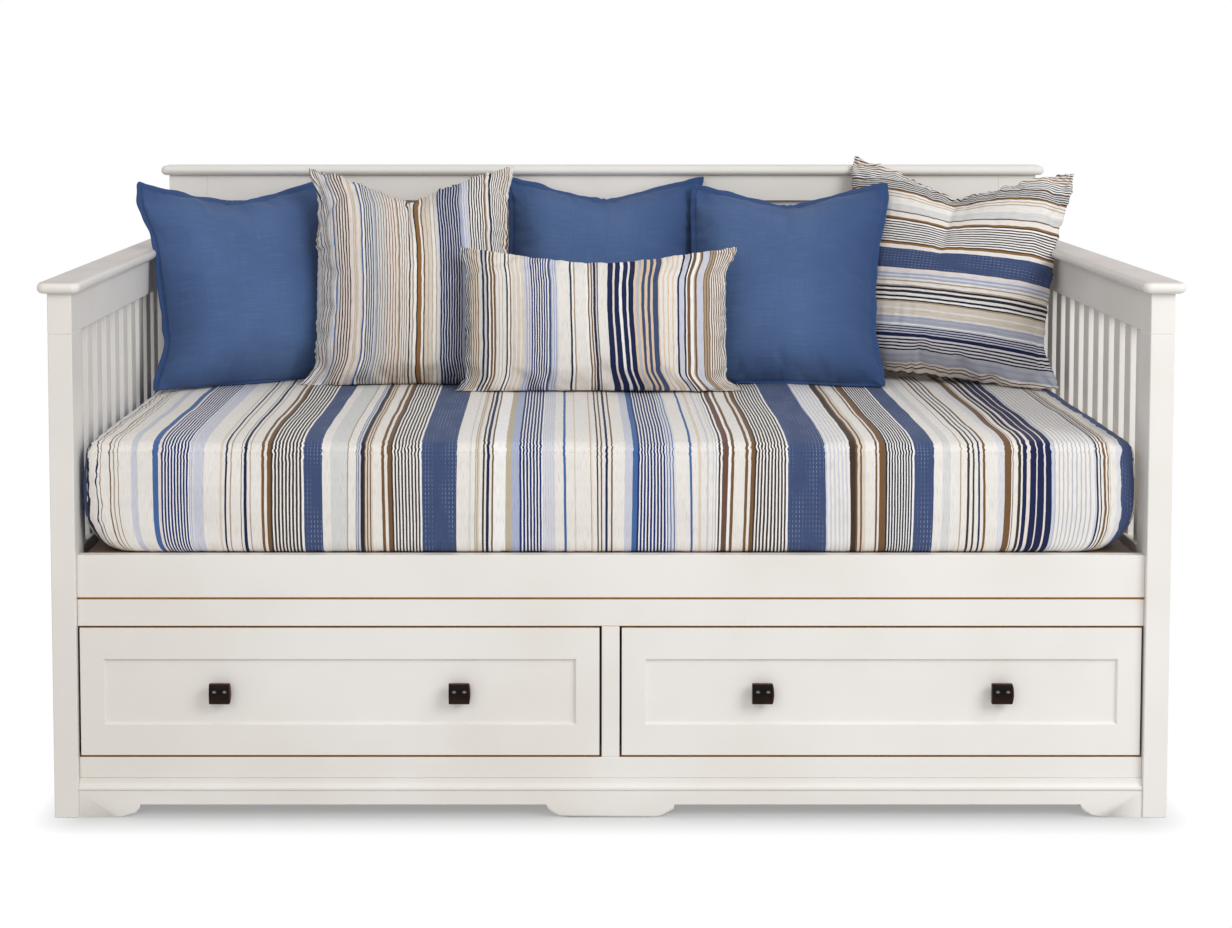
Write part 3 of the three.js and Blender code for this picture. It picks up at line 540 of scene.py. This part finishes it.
slotOf = {entry["node"]: entry["material_slot"] for entry in frame["record"]["subparts"]}
for node, slot in slotOf.items():
    if slot == "paint":
        dress(nodes[node], paint)
    elif slot == "bronze":
        dress(nodes[node], bronze)
    elif slot == "bare_wood":
        low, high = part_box(node)
        size = high - low
        dress(nodes[node], woods[max(range(3), key=lambda axis: size[axis])])

# The deck is dark brown hardboard, its dark tone also painted shade in the gaps at the mattress
# corners
for node in ("deck_left_half", "deck_right_half"):
    dress(nodes[node], hardboardAndShade)


# Pieces with rounded profiles are shown by a merged copy with a smooth finish
smooth = {"merge": 0.00005, "angle": 40}


def smoothCopy(node, name, body):
    piece = link(nodes[node].copy())
    piece.data = nodes[node].data.copy()
    piece.name = name
    piece.parent = None
    for key in list(piece.keys()):
        del piece[key]
    selectOnly(piece)
    mode("EDIT")
    bpy.ops.mesh.select_all(action="SELECT")
    bpy.ops.mesh.remove_doubles(threshold=smooth["merge"])
    mode("OBJECT")
    bpy.ops.object.shade_smooth_by_angle(angle=math.radians(smooth["angle"]))
    flats = piece.modifiers.new("flats", "WEIGHTED_NORMAL")
    flats.keep_sharp = True
    bpy.ops.object.modifier_apply(modifier="flats")
    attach(piece, body)
    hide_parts(node)
    return piece


for node, name in (("back_cap", "backCapPiece"), ("left_arm_cap", "leftArmCapPiece"),
                   ("right_arm_cap", "rightArmCapPiece"), ("base_moulding", "beadMouldingPiece"),
                   ("bracket_plinth", "plinthPiece")):
    piece = smoothCopy(node, name, "frame")
    # The arm caps take the paint with painted shade on their flat tops
    if "arm_cap" in node:
        dress(piece, capTopShadePaint)


# Faces of a node that get a second material, chosen by their centre and direction. A flat face
# lies nearly square to its axis, and an eased edge leans half way
faceWay = {"flat": 0.9, "eased": 0.5, "skin": 0.0012}


def gapFaces(node, wanted, material=bareEdgeAndShade):
    mesh = nodes[node].data
    mesh.materials.append(material)
    for polygon in mesh.polygons:
        if wanted(nodes[node].matrix_world @ polygon.center, polygon.normal):
            polygon.material_index = len(mesh.materials) - 1


def outerEdge(node, axis):
    low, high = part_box(node)
    upper = faceWay["flat" if axis == 2 else "eased"]    # the eased top edge keeps its paint

    def wanted(spot, normal):
        near = min(spot[axis] - low[axis], high[axis] - spot[axis])
        outward = normal[axis] > upper or normal[axis] < -faceWay["eased"]
        return outward and near < faceWay["skin"]
    return wanted


# Edges in the gaps round the drawers and under the bed rail: bare wood whose golden brown also
# stands in for shade, and painted shadow on the upright edges of the drawer fronts
for side in ("left", "right"):
    front = side + "_drawer_front"
    gapFaces(front, outerEdge(front, 2))
    gapFaces(front, outerEdge(front, 0), paintedShadowEdge)
gapFaces("front_bed_rail", lambda spot, normal: normal.z < -faceWay["eased"])
gapFaces("case_top_rail", lambda spot, normal: abs(normal.z) > faceWay["eased"])
gapFaces("case_bottom_rail", lambda spot, normal: normal.z > faceWay["flat"])
print("frame finished")

# Knobs: a square head crowned from top to bottom, on a turned stem with a collar
knob = {"head": 0.038, "thick": 0.0135, "crown": 0.0038, "stemLength": 0.0135, "stem": 0.0075,
        "collar": 0.012, "collarThick": 0.003, "collarEase": 0.0007, "ease": 0.0016,
        "belly": 0.0022, "border": 0.0006, "slices": 12, "sides": 40, "sunk": 0.001,
        "front": -0.99, "smooth": 35}


def selectFront(piece):
    mesh = bmesh.from_edit_mesh(piece.data)
    for face in mesh.faces:
        face.select_set(face.normal.y < knob["front"])
    mesh.select_flush_mode()
    bmesh.update_edit_mesh(piece.data)


def makeKnob():
    middle = -knob["stemLength"] - knob["thick"] / 2
    bpy.ops.mesh.primitive_cube_add(size=1, location=(0, middle, 0))
    head = bpy.context.active_object
    head.scale = (knob["head"], knob["thick"], knob["head"])
    bpy.ops.object.transform_apply()
    mode("EDIT")
    bpy.ops.mesh.select_all(action="SELECT")
    bpy.ops.mesh.bevel(offset=knob["ease"], segments=3)
    selectFront(head)
    bpy.ops.mesh.inset(thickness=knob["border"])
    for i in range(1, knob["slices"]):
        bpy.ops.mesh.select_all(action="SELECT")
        height = knob["head"] * (i / knob["slices"] - 0.5)
        bpy.ops.mesh.bisect(plane_co=(0, 0, height), plane_no=(0, 0, 1))
    mode("OBJECT")
    for vertex in head.data.vertices:
        away = (vertex.co.z / (knob["head"] / 2)) ** 2
        if vertex.co.y < middle:
            vertex.co.y += knob["crown"] * away
        if vertex.co.x > knob["head"] / 4:
            vertex.co.x += knob["belly"] * (1 - away)
    rods = []
    for radius, length, ease in ((knob["stem"], knob["stemLength"] + knob["sunk"], 0.0),
                                 (knob["collar"], knob["collarThick"], knob["collarEase"])):
        bpy.ops.mesh.primitive_cylinder_add(vertices=knob["sides"], radius=radius, depth=length,
                                            location=(0, -length / 2, 0),
                                            rotation=(math.pi / 2, 0, 0))
        rod = bpy.context.active_object
        bpy.ops.object.transform_apply()
        if ease:
            mode("EDIT")
            selectFront(rod)
            bpy.ops.mesh.bevel(offset=ease, segments=3)
            mode("OBJECT")
        rods.append(rod)
    selectOnly(head)
    for rod in rods:
        rod.select_set(True)
    bpy.ops.object.join()
    bpy.ops.object.shade_smooth_by_angle(angle=math.radians(knob["smooth"]))
    dress(head, bronze)
    while head.data.uv_layers:
        head.data.uv_layers.remove(head.data.uv_layers[0])
    layer = head.data.uv_layers.new(name="grip")
    for loop in head.data.loops:
        spot = head.data.vertices[loop.vertex_index].co
        layer.data[loop.index].uv = (spot.x / knob["head"] + 0.5, spot.z / knob["head"] + 0.5)
    return head


pattern = makeKnob()
knobRow = [(side, hand) for side in ("left", "right") for hand in ("left", "right")]
for side, hand in knobRow:
    node = side + "_drawer_" + hand + "_knob"
    low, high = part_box(node)
    piece = pattern
    if (side, hand) != knobRow[-1]:
        piece = link(pattern.copy())
        piece.data = pattern.data.copy()
    piece.name = side + hand.capitalize() + "Knob"
    spot = Vector(((low[0] + high[0]) / 2, high[1], (low[2] + high[2]) / 2))
    piece.data.transform(Matrix.Translation(spot))
    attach(piece, side + "_drawer")
    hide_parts(node)
print("knobs made")


def clamp(value):
    return min(1.0, max(0.0, value))


# Smooth noise at a place, which is scaled in each way
def lumps(scales, *place):
    return noise.noise(Vector([way * scale for way, scale in zip(place, scales)]))


def soften(piece):
    selectOnly(piece)
    level = piece.modifiers.new("soften", "SUBSURF")
    level.levels = level.render_levels = 1
    bpy.ops.object.modifier_apply(modifier="soften")


# The made-up mattress: a soft box whose walls draw in to the deck, with its cloth laid out flat
bed = {"halfLength": 0.978, "halfDepth": 0.495, "bottom": 0.487, "top": 0.7, "middleY": -0.0225,
       "corner": 0.046, "leftCorner": 0.030, "leastCorner": 0.012, "roll": 0.028, "bulge": 0.004,
       "tuck": 0.018, "crown": 0.007, "crownReach": 0.1, "cornerDraw": 0.036,
       "drawHeight": 0.085, "drawReach": 0.10, "across": 116, "deep": 60, "rollRows": 6,
       "wallRows": 12, "endSlope": 0.78}
bedCreases = {"ripple": 0.0048, "rippleScale": (7, 6, 11), "fine": 0.0013,
              "fineScale": (42, 9, 12), "footPucker": 0.0016, "endPucker": 0.0032,
              "puckerScale": (60, 60, 18), "shrink": 0.0016, "footReach": 0.025, "endReach": 0.05,
              "steady": 0.6, "softFrom": 0.004, "softOver": 0.05}


# How far the ends are pulled in above the deck, where the cover is tucked
def endDraw(z):
    share = max(0.0, 1 - (z - bed["bottom"]) / bed["drawHeight"])
    return bed["cornerDraw"] * share * share


# Height and inset of the wall, from the deck up to the rolled top edge
def bedWall():
    steps, roll, bottom = bed["rollRows"], bed["roll"], bed["bottom"]
    edge = bed["top"] - bed["crown"]
    wall = edge - bottom - roll * 2
    turns = [math.pi / 2 * i / steps for i in range(steps + 1)]
    shares = [i / bed["wallRows"] for i in range(1, bed["wallRows"])]
    rows = [(bed["tuck"] * (1 - math.sin(t)), bottom + roll * (1 - math.cos(t))) for t in turns]
    rows += [(-bed["bulge"] * math.sin(math.pi * s), bottom + roll + wall * s) for s in shares]
    rows += [(roll * (1 - math.cos(t)), edge - roll * (1 - math.sin(t))) for t in turns]
    return rows


# A point of a square grid, a and b from -1 to 1, moved onto a rectangle with round corners
def bedSpot(a, b, inset, z):
    halfX = bed["halfLength"] - bed["bulge"] - inset - endDraw(z)
    halfY = bed["halfDepth"] - bed["bulge"] - inset
    corner = bed["leftCorner" if a < 0 else "corner"]
    radius = max(corner - inset, bed["leastCorner"]) + endDraw(z)
    x, y = a * halfX, b * halfY
    overX, overY = abs(x) - halfX + radius, abs(y) - halfY + radius
    if overX > 0 and overY > 0:
        scale = max(overX, overY) / math.hypot(overX, overY)
        x = math.copysign(halfX - radius + overX * scale, x)
        y = math.copysign(halfY - radius + overY * scale, y)
    return x, y + bed["middleY"], halfX


def newPiece(name, points, faces, clothPlace, material):
    mesh = bpy.data.meshes.new(name)
    mesh.from_pydata([tuple(p) for p in points], [], faces)
    layer = mesh.uv_layers.new(name="cloth")
    for polygon in mesh.polygons:
        for loop in polygon.loop_indices:
            layer.data[loop].uv = clothPlace(polygon, mesh.loops[loop].vertex_index)
    mesh.materials.append(material)
    for polygon in mesh.polygons:
        polygon.use_smooth = True
    return link(bpy.data.objects.new(name, mesh))


def makeBed():
    across, deep = bed["across"], bed["deep"]
    points, laid, faces = [], [], []
    rim = [(i, 0) for i in range(across)] + [(across, j) for j in range(deep)]
    rim += [(i, deep) for i in range(across, 0, -1)] + [(0, j) for j in range(deep, 0, -1)]
    wall = bedWall()
    place = {}

    def addPoint(i, j, inset, z):
        x, y, halfX = bedSpot(2 * i / across - 1, 2 * j / deep - 1, inset, z)
        low = z < bed["bottom"] + bed["roll"]
        pulled = endDraw(z) + (min(inset, bed["tuck"]) if low else 0.0)
        reach = math.exp(-max(0.0, halfX - abs(x)) / bed["drawReach"])
        points.append((x, y, z))
        laid.append(x + math.copysign(pulled * reach, x))
        return len(points) - 1

    for row, (inset, z) in enumerate(wall):
        for i, j in rim:
            place[row, i, j] = addPoint(i, j, inset, z)
    last = len(wall) - 1
    for level, row in ((last, "top"), (0, "foot")):
        inset, z = wall[level]
        for i in range(across + 1):
            for j in range(deep + 1):
                if (level, i, j) in place:
                    place[row, i, j] = place[level, i, j]
                    continue
                x, y, _ = bedSpot(2 * i / across - 1, 2 * j / deep - 1, inset, z)
                beside = bed["halfDepth"] - abs(y - bed["middleY"])
                edge = min(bed["halfLength"] - abs(x), beside) - bed["roll"]
                crown = bed["crown"] * math.sin(math.pi / 2 * clamp(edge / bed["crownReach"]))
                place[row, i, j] = addPoint(i, j, inset, z + (crown if row == "top" else 0.0))
                if row == "foot":
                    laid[-1] = x
    for row in range(last):
        for k, here in enumerate(rim):
            after = rim[(k + 1) % len(rim)]
            faces.append((place[(row, *here)], place[(row, *after)],
                          place[(row + 1, *after)], place[(row + 1, *here)]))
    for i in range(across):
        for j in range(deep):
            corners = [(i, j), (i + 1, j), (i + 1, j + 1), (i, j + 1)]
            faces.append(tuple(place["top", p, q] for p, q in corners))
            faces.append(tuple(place["foot", p, q] for p, q in reversed(corners)))

    def clothPlace(polygon, index):
        x, y, z = points[index]
        if abs(polygon.normal.x) > bed["endSlope"]:
            return math.copysign(bed["halfLength"] + bed["top"] - z, x), y
        return laid[index], y + (bed["top"] - z) * (-1 if y < 0 else 1)

    piece = newPiece("stripedMattress", points, faces, clothPlace, bedStripe)
    soften(piece)
    creases = bedCreases
    normals = [vertex.normal.copy() for vertex in piece.data.vertices]
    for vertex, normal in zip(piece.data.vertices, normals):
        x, y, z = vertex.co
        over = z - bed["bottom"]
        soft = clamp((over - creases["softFrom"]) / creases["softOver"])
        nearEnd = math.exp(-(bed["halfLength"] - abs(x)) / creases["endReach"])
        shift = lumps(creases["rippleScale"], x, y, z) * creases["ripple"]
        shift += lumps(creases["fineScale"], x, y, z) * creases["fine"]
        shift *= soft * (1 - creases["steady"] * nearEnd)
        foot = math.exp(-over / creases["footReach"]) * creases["footPucker"]
        pucker = lumps(creases["puckerScale"], x, y, z)
        shift += pucker * (foot + creases["endPucker"] * nearEnd * soft)
        vertex.co += normal * (shift - creases["shrink"] * soft)
        vertex.co.z = max(vertex.co.z, bed["bottom"])
    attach(piece, "frame")
    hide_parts("mattress")


makeBed()
print("mattress made")

# Pillows: two panels sewn at the rim, filled by a short cloth simulation, resting on the bed
# wide, tall and thick are its size; dip, chop and arch shape the top edge; draw pulls the left
# and right sides in, and ear, lift, foot and drop say where they flare out again above and
# below; valley and tuck are the folds under the dip; slack and cap rule the filling
cushion = {"edgeSteps": 5, "edgeShare": 0.078, "bodySteps": 50, "bodyPower": 0.52, "belly": 0.22,
           "seam": 0.0015, "restZ": 0.7003, "sink": 0.014, "bottomDraw": 0.010,
           "valleyWidth": 0.3, "valleyFoot": 0.1, "tuckWidth": 0.07, "tuckRise": (0.3, 0.95),
           "cornerPower": 14, "start": 0.97, "settle": 0.004}
filling = {"quality": 5, "mass": 0.2, "tension_stiffness": 12, "compression_stiffness": 12,
           "shear_stiffness": 4, "bending_stiffness": 0.2, "vertex_group_mass": "seam",
           "use_pressure": True, "uniform_pressure_force": 4}
fillingFrames = 20
blue = {"wide": 0.446, "tall": 0.482, "thick": 0.160, "flange": linenLook["flange"], "arch": 0.9,
        "valley": 0.15, "foot": 0.6, "lift": 1.0, "drop": 1.0, "slot": "blue_linen",
        "cloth": linen, "slack": 0.02, "cap": 0.008, "puckers": 0.0012, "puckerPitch": 0.030,
        "crimp": 0.0004, "laid": (linenLook["halfWide"], linenLook["halfTall"]),
        "dipKeep": 0.0, "tuck": 0.08, "swell": 0.0026, "blunt": 0.007}
striped = {"wide": 0.474, "tall": 0.492, "thick": 0.160, "flange": 0.0, "arch": 0.8,
           "chop": 0.05, "valley": 0.3, "lift": 1.0, "drop": 1.0, "cloth": squareStripe,
           "slot": "pillow_stripe", "slack": 0.05, "cap": 0.010, "puckers": 0.0042,
           "puckerPitch": 0.015, "crimp": 0.0013, "laid": (0.237, 0.246), "dipKeep": 0.75,
           "tuck": 0.3, "swell": 0.0045, "blunt": 0.003}
pillowPlan = [
    ("blue_pillow_left", "blueLeftPillow",
     {**blue, "wide": 0.468, "dip": 0.053, "chop": 0.5, "draw": (0.024, 0.020),
      "ear": (0.36, 0.8), "foot": 0.45, "lift": 0.9, "drop": 1.9},
     {"x": -0.7401, "y": 0.2417, "yaw": 31, "lean": 18, "roll": 0}),
    ("striped_pillow_left", "stripedLeftPillow",
     {**striped, "wide": 0.484, "tall": 0.502, "dip": 0.084, "draw": (0.038, 0.024),
      "ear": (0.66, 1), "foot": 0.72, "lift": 0.62},
     {"x": -0.4211, "y": 0.2171, "yaw": 0, "lean": 17, "roll": -0.6}),
    ("blue_pillow_centre", "blueMiddlePillow",
     {**blue, "wide": 0.460, "dip": 0.058, "chop": 0.2, "draw": (0.016, 0.016), "ear": (0.7, 1)},
     {"x": 0.0027, "y": 0.3351, "yaw": 0, "lean": 17, "roll": 0}),
    ("blue_pillow_right", "blueRightPillow",
     {**blue, "tall": 0.484, "dip": 0.057, "chop": 0.2, "draw": (0.010, 0.026), "ear": (0.1, 0.95),
      "foot": 0.4},
     {"x": 0.3860, "y": 0.2105, "yaw": -12, "lean": 23, "roll": -1.3}),
    ("striped_pillow_right", "stripedRightPillow",
     {**striped, "cloth": crossStripe, "wide": 0.500, "dip": 0.084, "draw": (0.020, 0.017),
      "ear": (0.3, 0.95), "foot": 0.5, "lift": 1.1, "drop": 2.8},
     {"x": 0.7115, "y": 0.2646, "yaw": -24, "lean": 16, "roll": 3.5}),
    ("striped_lumbar_pillow", "stripedLumbarPillow",
     {**striped, "cloth": bolsterStripe, "slot": "lumbar_stripe", "wide": 0.596, "tall": 0.327,
      "thick": 0.112, "dip": 0.035, "chop": 0.4, "arch": 1.0, "draw": (0.014, 0.026),
      "ear": (0.55, 1), "foot": 0.7, "drop": 1.8, "valley": 0.1, "tuck": 0.0, "cap": 0.008,
      "puckers": 0.0034, "laid": (0.298, 0.159)},
     {"x": -0.0132, "y": 0.1203, "yaw": 0, "lean": 13, "roll": 0}),
]


def easeBetween(low, high, value):
    share = clamp((value - low) / (high - low))
    return share * share * (3 - 2 * share)


# A point of the panel: u across and v up run from -1 to 1, face is -1 for the front panel
def pillowPoint(form, u, v, face):
    if v > 0:
        flare = form["lift"] * easeBetween(*form["ear"], v)
    else:
        flare = form["drop"] * easeBetween(form["foot"], 1, -v)
    halfWide = form["wide"] / 2 - form["draw"][0 if u < 0 else 1] * (1 - flare)
    blunt = form["chop"]
    rise = (math.hypot(u, blunt) - blunt) / (math.hypot(1, blunt) - blunt)
    topEdge = form["tall"] / 2 - form["dip"] * (1 - rise ** form["arch"])
    lowEdge = form["tall"] / 2 - cushion["bottomDraw"] * (1 - u * u)
    inner = 1 - 2 * form["flange"] / form["wide"]
    bu, bv = min(1.0, abs(u) / inner), min(1.0, abs(v) / inner)
    body = ((1 - bu * bu) * (1 - bv * bv)) ** cushion["bodyPower"] * (1 - cushion["belly"] * v)
    hollow = form["valley"] * math.exp(-(u / cushion["valleyWidth"]) ** 2)
    hollow *= easeBetween(cushion["valleyFoot"], 1, v)
    fold = math.exp(-(u / cushion["tuckWidth"]) ** 2)
    hollow += form["tuck"] * fold * easeBetween(*cushion["tuckRise"], v)
    half = form["thick"] / 2 * cushion["start"] - cushion["seam"]
    corner = form["blunt"] * (abs(u) * abs(v)) ** cushion["cornerPower"]
    halfWide -= corner
    topEdge -= corner
    lowEdge -= corner
    onRim = max(abs(u), abs(v)) > 0.9999
    deep = 0.0 if onRim else cushion["seam"] + half * body * (1 - hollow)
    height = form["tall"] / 2 + v * (topEdge if v > 0 else lowEdge)
    return Vector((u * halfWide, face * deep, height))


# Grid lines, closer together beside the seams
def panelLines():
    share, steps = cushion["edgeShare"], cushion["bodySteps"]
    edge = [share * i / cushion["edgeSteps"] for i in range(cushion["edgeSteps"])]
    span = 2 - 2 * share
    body = [share + span * i / steps for i in range(steps + 1)]
    return [place - 1 for place in edge + body + [2 - place for place in reversed(edge)]]


def makePillow(node, name, form, place):
    lines = panelLines()
    last = len(lines) - 1
    points, laid, panel, faces, index = [], [], [], [], {}
    for face in (-1, 1):
        for j, v in enumerate(lines):
            for i, u in enumerate(lines):
                if face > 0 and (i in (0, last) or j in (0, last)):
                    index[face, i, j] = index[-1, i, j]
                    continue
                index[face, i, j] = len(points)
                points.append(pillowPoint(form, u, v, face))
                panel.append((u * form["laid"][0], v * form["laid"][1]))
                keep = form["dipKeep"] if v > 0 else 0.0
                height = points[-1].z - form["tall"] / 2
                laid.append((panel[-1][0], panel[-1][1] * (1 - keep) + height * keep))
    for face in (-1, 1):
        for j in range(last):
            for i in range(last):
                quad = [index[face, i, j], index[face, i + 1, j],
                        index[face, i + 1, j + 1], index[face, i, j + 1]]
                faces.append(tuple(quad if face < 0 else reversed(quad)))
    turn = (Matrix.Rotation(math.radians(place["yaw"]), 4, "Z")
            @ Matrix.Rotation(math.radians(-place["lean"]), 4, "X")
            @ Matrix.Rotation(math.radians(place["roll"]), 4, "Y"))
    points = [turn @ p for p in points]
    low = min(p.z for p in points)
    shift = Vector((place["x"], place["y"], cushion["restZ"] - cushion["sink"] - low))
    points = [p + shift for p in points]
    piece = newPiece(name, points, faces, lambda polygon, i: laid[i], form["cloth"])
    layer = piece.data.uv_layers.new(name="panel")
    for loop in piece.data.loops:
        layer.data[loop.index].uv = panel[loop.vertex_index]
    halfU, halfV = form["laid"]
    rim = [i for i, (u, v) in enumerate(panel)
           if min(halfU - abs(u), halfV - abs(v)) < form["flange"] + 0.0005]
    fillPillow(piece, form, rim)
    soften(piece)
    gatherSeams(piece, form)
    for vertex in piece.data.vertices:    # nothing sinks into the mattress
        over = vertex.co.z - cushion["restZ"]
        vertex.co.z = cushion["restZ"] + (over + math.hypot(over, cushion["settle"])) / 2
    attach(piece, "frame")
    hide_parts(node)


# Pressure from inside, a little spare cloth, and a cap on how far any point may go
def fillPillow(piece, form, rim):
    start = [vertex.co.copy() for vertex in piece.data.vertices]
    selectOnly(piece)
    piece.vertex_groups.new(name="seam").add(rim, 1.0, "REPLACE")
    cloth = piece.modifiers.new("filling", "CLOTH")
    for key, value in filling.items():
        setattr(cloth.settings, key, value)
    cloth.settings.shrink_min = -form["slack"]
    cloth.settings.effector_weights.gravity = 0
    cloth.collision_settings.use_collision = False
    cloth.point_cache.frame_end = fillingFrames
    for step in range(1, fillingFrames + 1):
        bpy.context.scene.frame_set(step)
    bpy.ops.object.modifier_apply(modifier="filling")
    bpy.context.scene.frame_set(1)
    piece.vertex_groups.clear()
    for vertex, before in zip(piece.data.vertices, start):
        move = vertex.co - before
        if move.length > form["cap"]:
            vertex.co = before + move.normalized() * form["cap"]


# Gathers beside the seams, folds that run out of the corners and the dip, and a fine crimp
gathers = {"height": 2.4, "low": 0.6, "depth": 0.05, "reach": 0.030, "rim": 0.0015,
           "rimShare": 0.4, "cornerFolds": 11, "cornerShare": 0.8, "cornerEnd": 0.16,
           "cornerReach": 0.05, "cornerStart": 0.02, "dipFolds": 6, "dipShare": 0.016,
           "dipReach": 0.07, "dipStart": 0.03, "dipAbove": 0.01, "dipDown": 0.4,
           "swellStart": 0.04, "flop": 0.004, "flopDrift": 0.007, "wave": 0.0035,
           "wander": 0.4, "wanderEnd": 0.02}
gatherScales = {"corner": (9, 9, 1), "swell": (8, 7, 1), "crimp": (90, 16, 1),
                "flop": (11, 11, 1), "wave": (26, 9, 1), "wander": (38, 38, 1)}


def gatherSeams(piece, form):
    mesh = piece.data
    places = [None] * len(mesh.vertices)
    for loop, spot in zip(mesh.loops, mesh.uv_layers["panel"].data):
        places[loop.vertex_index] = spot.uv.copy()
    mesh.uv_layers.remove(mesh.uv_layers["panel"])
    halfU, halfV = form["laid"]
    flange, puckers = form["flange"], form["puckers"]
    seed = form["wide"] * 40 + form["dip"] * 900
    scales = gatherScales
    corners = [(u, v, lumps(scales["corner"], u, v, seed) * 3)
               for u in (-halfU, halfU) for v in (-halfV, halfV)]
    normals = [vertex.normal.copy() for vertex in mesh.vertices]
    for vertex, normal, (u, v) in zip(mesh.vertices, normals, places):
        side = seed + (0.0 if normal.y < 0 else 31.0)
        du, dv = max(0.0, halfU - abs(u)), max(0.0, halfV - abs(v))
        edge = min(du, dv)
        along = v if du < dv else u
        gather = abs(lumps((1 / form["puckerPitch"], 1 / gathers["depth"], 1), along, edge, side))
        shift = puckers * (gather * gathers["height"] - gathers["low"])
        shift *= math.exp(-max(0.0, edge - flange) / gathers["reach"])
        if edge < gathers["rim"]:
            shift *= gathers["rimShare"]
        for cornerU, cornerV, phase in corners:
            far = math.hypot(u - cornerU, v - cornerV)
            if far < gathers["cornerEnd"]:
                turn = math.atan2(abs(v - cornerV), abs(u - cornerU)) * gathers["cornerFolds"]
                fold = math.sin(turn + phase) * puckers * gathers["cornerShare"]
                fold *= min(1.0, far / gathers["cornerStart"])
                shift += fold * math.exp(-far / gathers["cornerReach"])
        far = math.hypot(u, v - halfV + form["dip"] * gathers["dipDown"])
        turn = math.atan2(u, halfV - v + gathers["dipAbove"]) * gathers["dipFolds"]
        fold = math.sin(turn + seed) * form["valley"] * gathers["dipShare"]
        fold *= min(1.0, far / gathers["dipStart"])
        shift += fold * math.exp(-far / gathers["dipReach"])
        swell = lumps(scales["swell"], u, v, side) * form["swell"]
        shift += swell * min(1.0, edge / gathers["swellStart"])
        shift += lumps(scales["crimp"], u, v, side) * form["crimp"]
        vertex.co += normal * shift
        if edge < flange:
            flop = lumps(scales["flop"], u, v, seed + 3) * gathers["flopDrift"] + gathers["flop"]
            wave = lumps(scales["wave"], along, edge, seed + 5) * gathers["wave"]
            vertex.co += Vector((wave, flop, wave)) * (1 - edge / flange)
        elif edge < gathers["wanderEnd"]:
            wander = lumps(scales["wander"], u, v, seed + 7) * puckers * gathers["wander"]
            vertex.co += Vector((wander, 0.0, wander)) * (1 - edge / gathers["wanderEnd"])


for entry in pillowPlan:
    makePillow(*entry)
print("pillows made")

# Floor, lights and camera. The floor shows paper under the bed, lifted by a faint glow that is
# painted light in its shadow, and fades to white round it
studio = {"floor": 14.0, "below": 0.0005, "world": 0.583, "paper": 0.51, "bounce": 0.6,
          "lift": 0.32, "footX": 0.96, "footY": 0.535, "fade": 0.105, "aim": (0, 0, 0.5),
          "lamps": (("keyLamp", (3.1, -3.4, 3.1), 2.4, 125.0, (0.95, 0.975, 1.0)),
                    ("fillLamp", (-1.5, -4.4, 2.6), 2.6, 45.0, (1.0, 0.96, 0.92)))}
white = (1, 1, 1, 1)


def emptyTree(owner, kind):
    owner.use_nodes = True
    owner.node_tree.nodes.clear()
    output = owner.node_tree.nodes.new("ShaderNodeOutput" + kind)
    return Wire(owner.node_tree, output.inputs[0])


# 1 for a ray from the camera, straight or by way of metal or glass
def seenRays(start):
    rays = [start.make("LightPath", out="Is " + kind + " Ray")
            for kind in ("Camera", "Glossy", "Transmission")]
    return start.math("MAXIMUM", start.math("MAXIMUM", rays[0], rays[1]), rays[2])


def makeStudio():
    bpy.ops.mesh.primitive_plane_add(size=studio["floor"] * 2, location=(0, 0, -studio["below"]))
    floor = bpy.context.active_object
    floor.name = "studioFloor"
    material = bpy.data.materials.new("floorPaper")
    start = emptyTree(material, "Material")
    shown = seenRays(start)
    bright = start.over((*[studio["bounce"]] * 3, 1), (*[studio["paper"]] * 3, 1), shown)
    paper = start.make("BsdfDiffuse", {"Color": bright})
    glow = start.make("Emission", {"Color": white, "Strength": 1.0})
    x, y = start.place().parts()[:2]
    outX, outY = [way.math("MAXIMUM", way.math("ABSOLUTE", way) - half, 0.0)
                  for way, half in ((x, studio["footX"]), (y, studio["footY"]))]
    # Under the bed the glow is mixed in at the lift share, painted light that lightens the floor's
    # shadow
    away = x.math("SQRT", outX * outX + outY * outY).fade(0.0, studio["fade"], studio["lift"], 1.0)
    mixed = start.make("MixShader", {0: away * shown, 1: paper, 2: glow})
    start.tree.links.new(mixed.socket, start.socket)
    floor.data.materials.append(material)

    world = bpy.data.worlds.new("studioWorld")
    bpy.context.scene.world = world
    start = emptyTree(world, "World")
    strength = seenRays(start).fade(0, 1, studio["world"], 1.0)
    sky = start.make("Background", {"Color": white, "Strength": strength})
    start.tree.links.new(sky.socket, start.socket)

    for name, spot, size, power, hue in studio["lamps"]:
        light = bpy.data.lights.new(name, "AREA")
        light.energy = power
        light.size = size
        light.color = hue
        lamp = link(bpy.data.objects.new(name, light))
        lamp.location = spot
        aim = Vector(studio["aim"]) - Vector(spot)
        lamp.rotation_euler = aim.to_track_quat("-Z", "Y").to_euler()


makeStudio()
view = {"place": (-0.0804, -4.6731, 1.3698), "pitch": 3.84}
lens = {"lens": 66.76, "sensor_width": 36, "shift_x": 0.0398, "shift_y": -0.1926}
camera = link(bpy.data.objects.new("camera", bpy.data.cameras.new("camera")))
camera.location = view["place"]
camera.rotation_euler = (math.radians(90 - view["pitch"]), 0, 0)
for key, value in lens.items():
    setattr(camera.data, key, value)
bpy.context.scene.camera = camera
bpy.context.scene.view_settings.view_transform = "Standard"
print("studio ready")
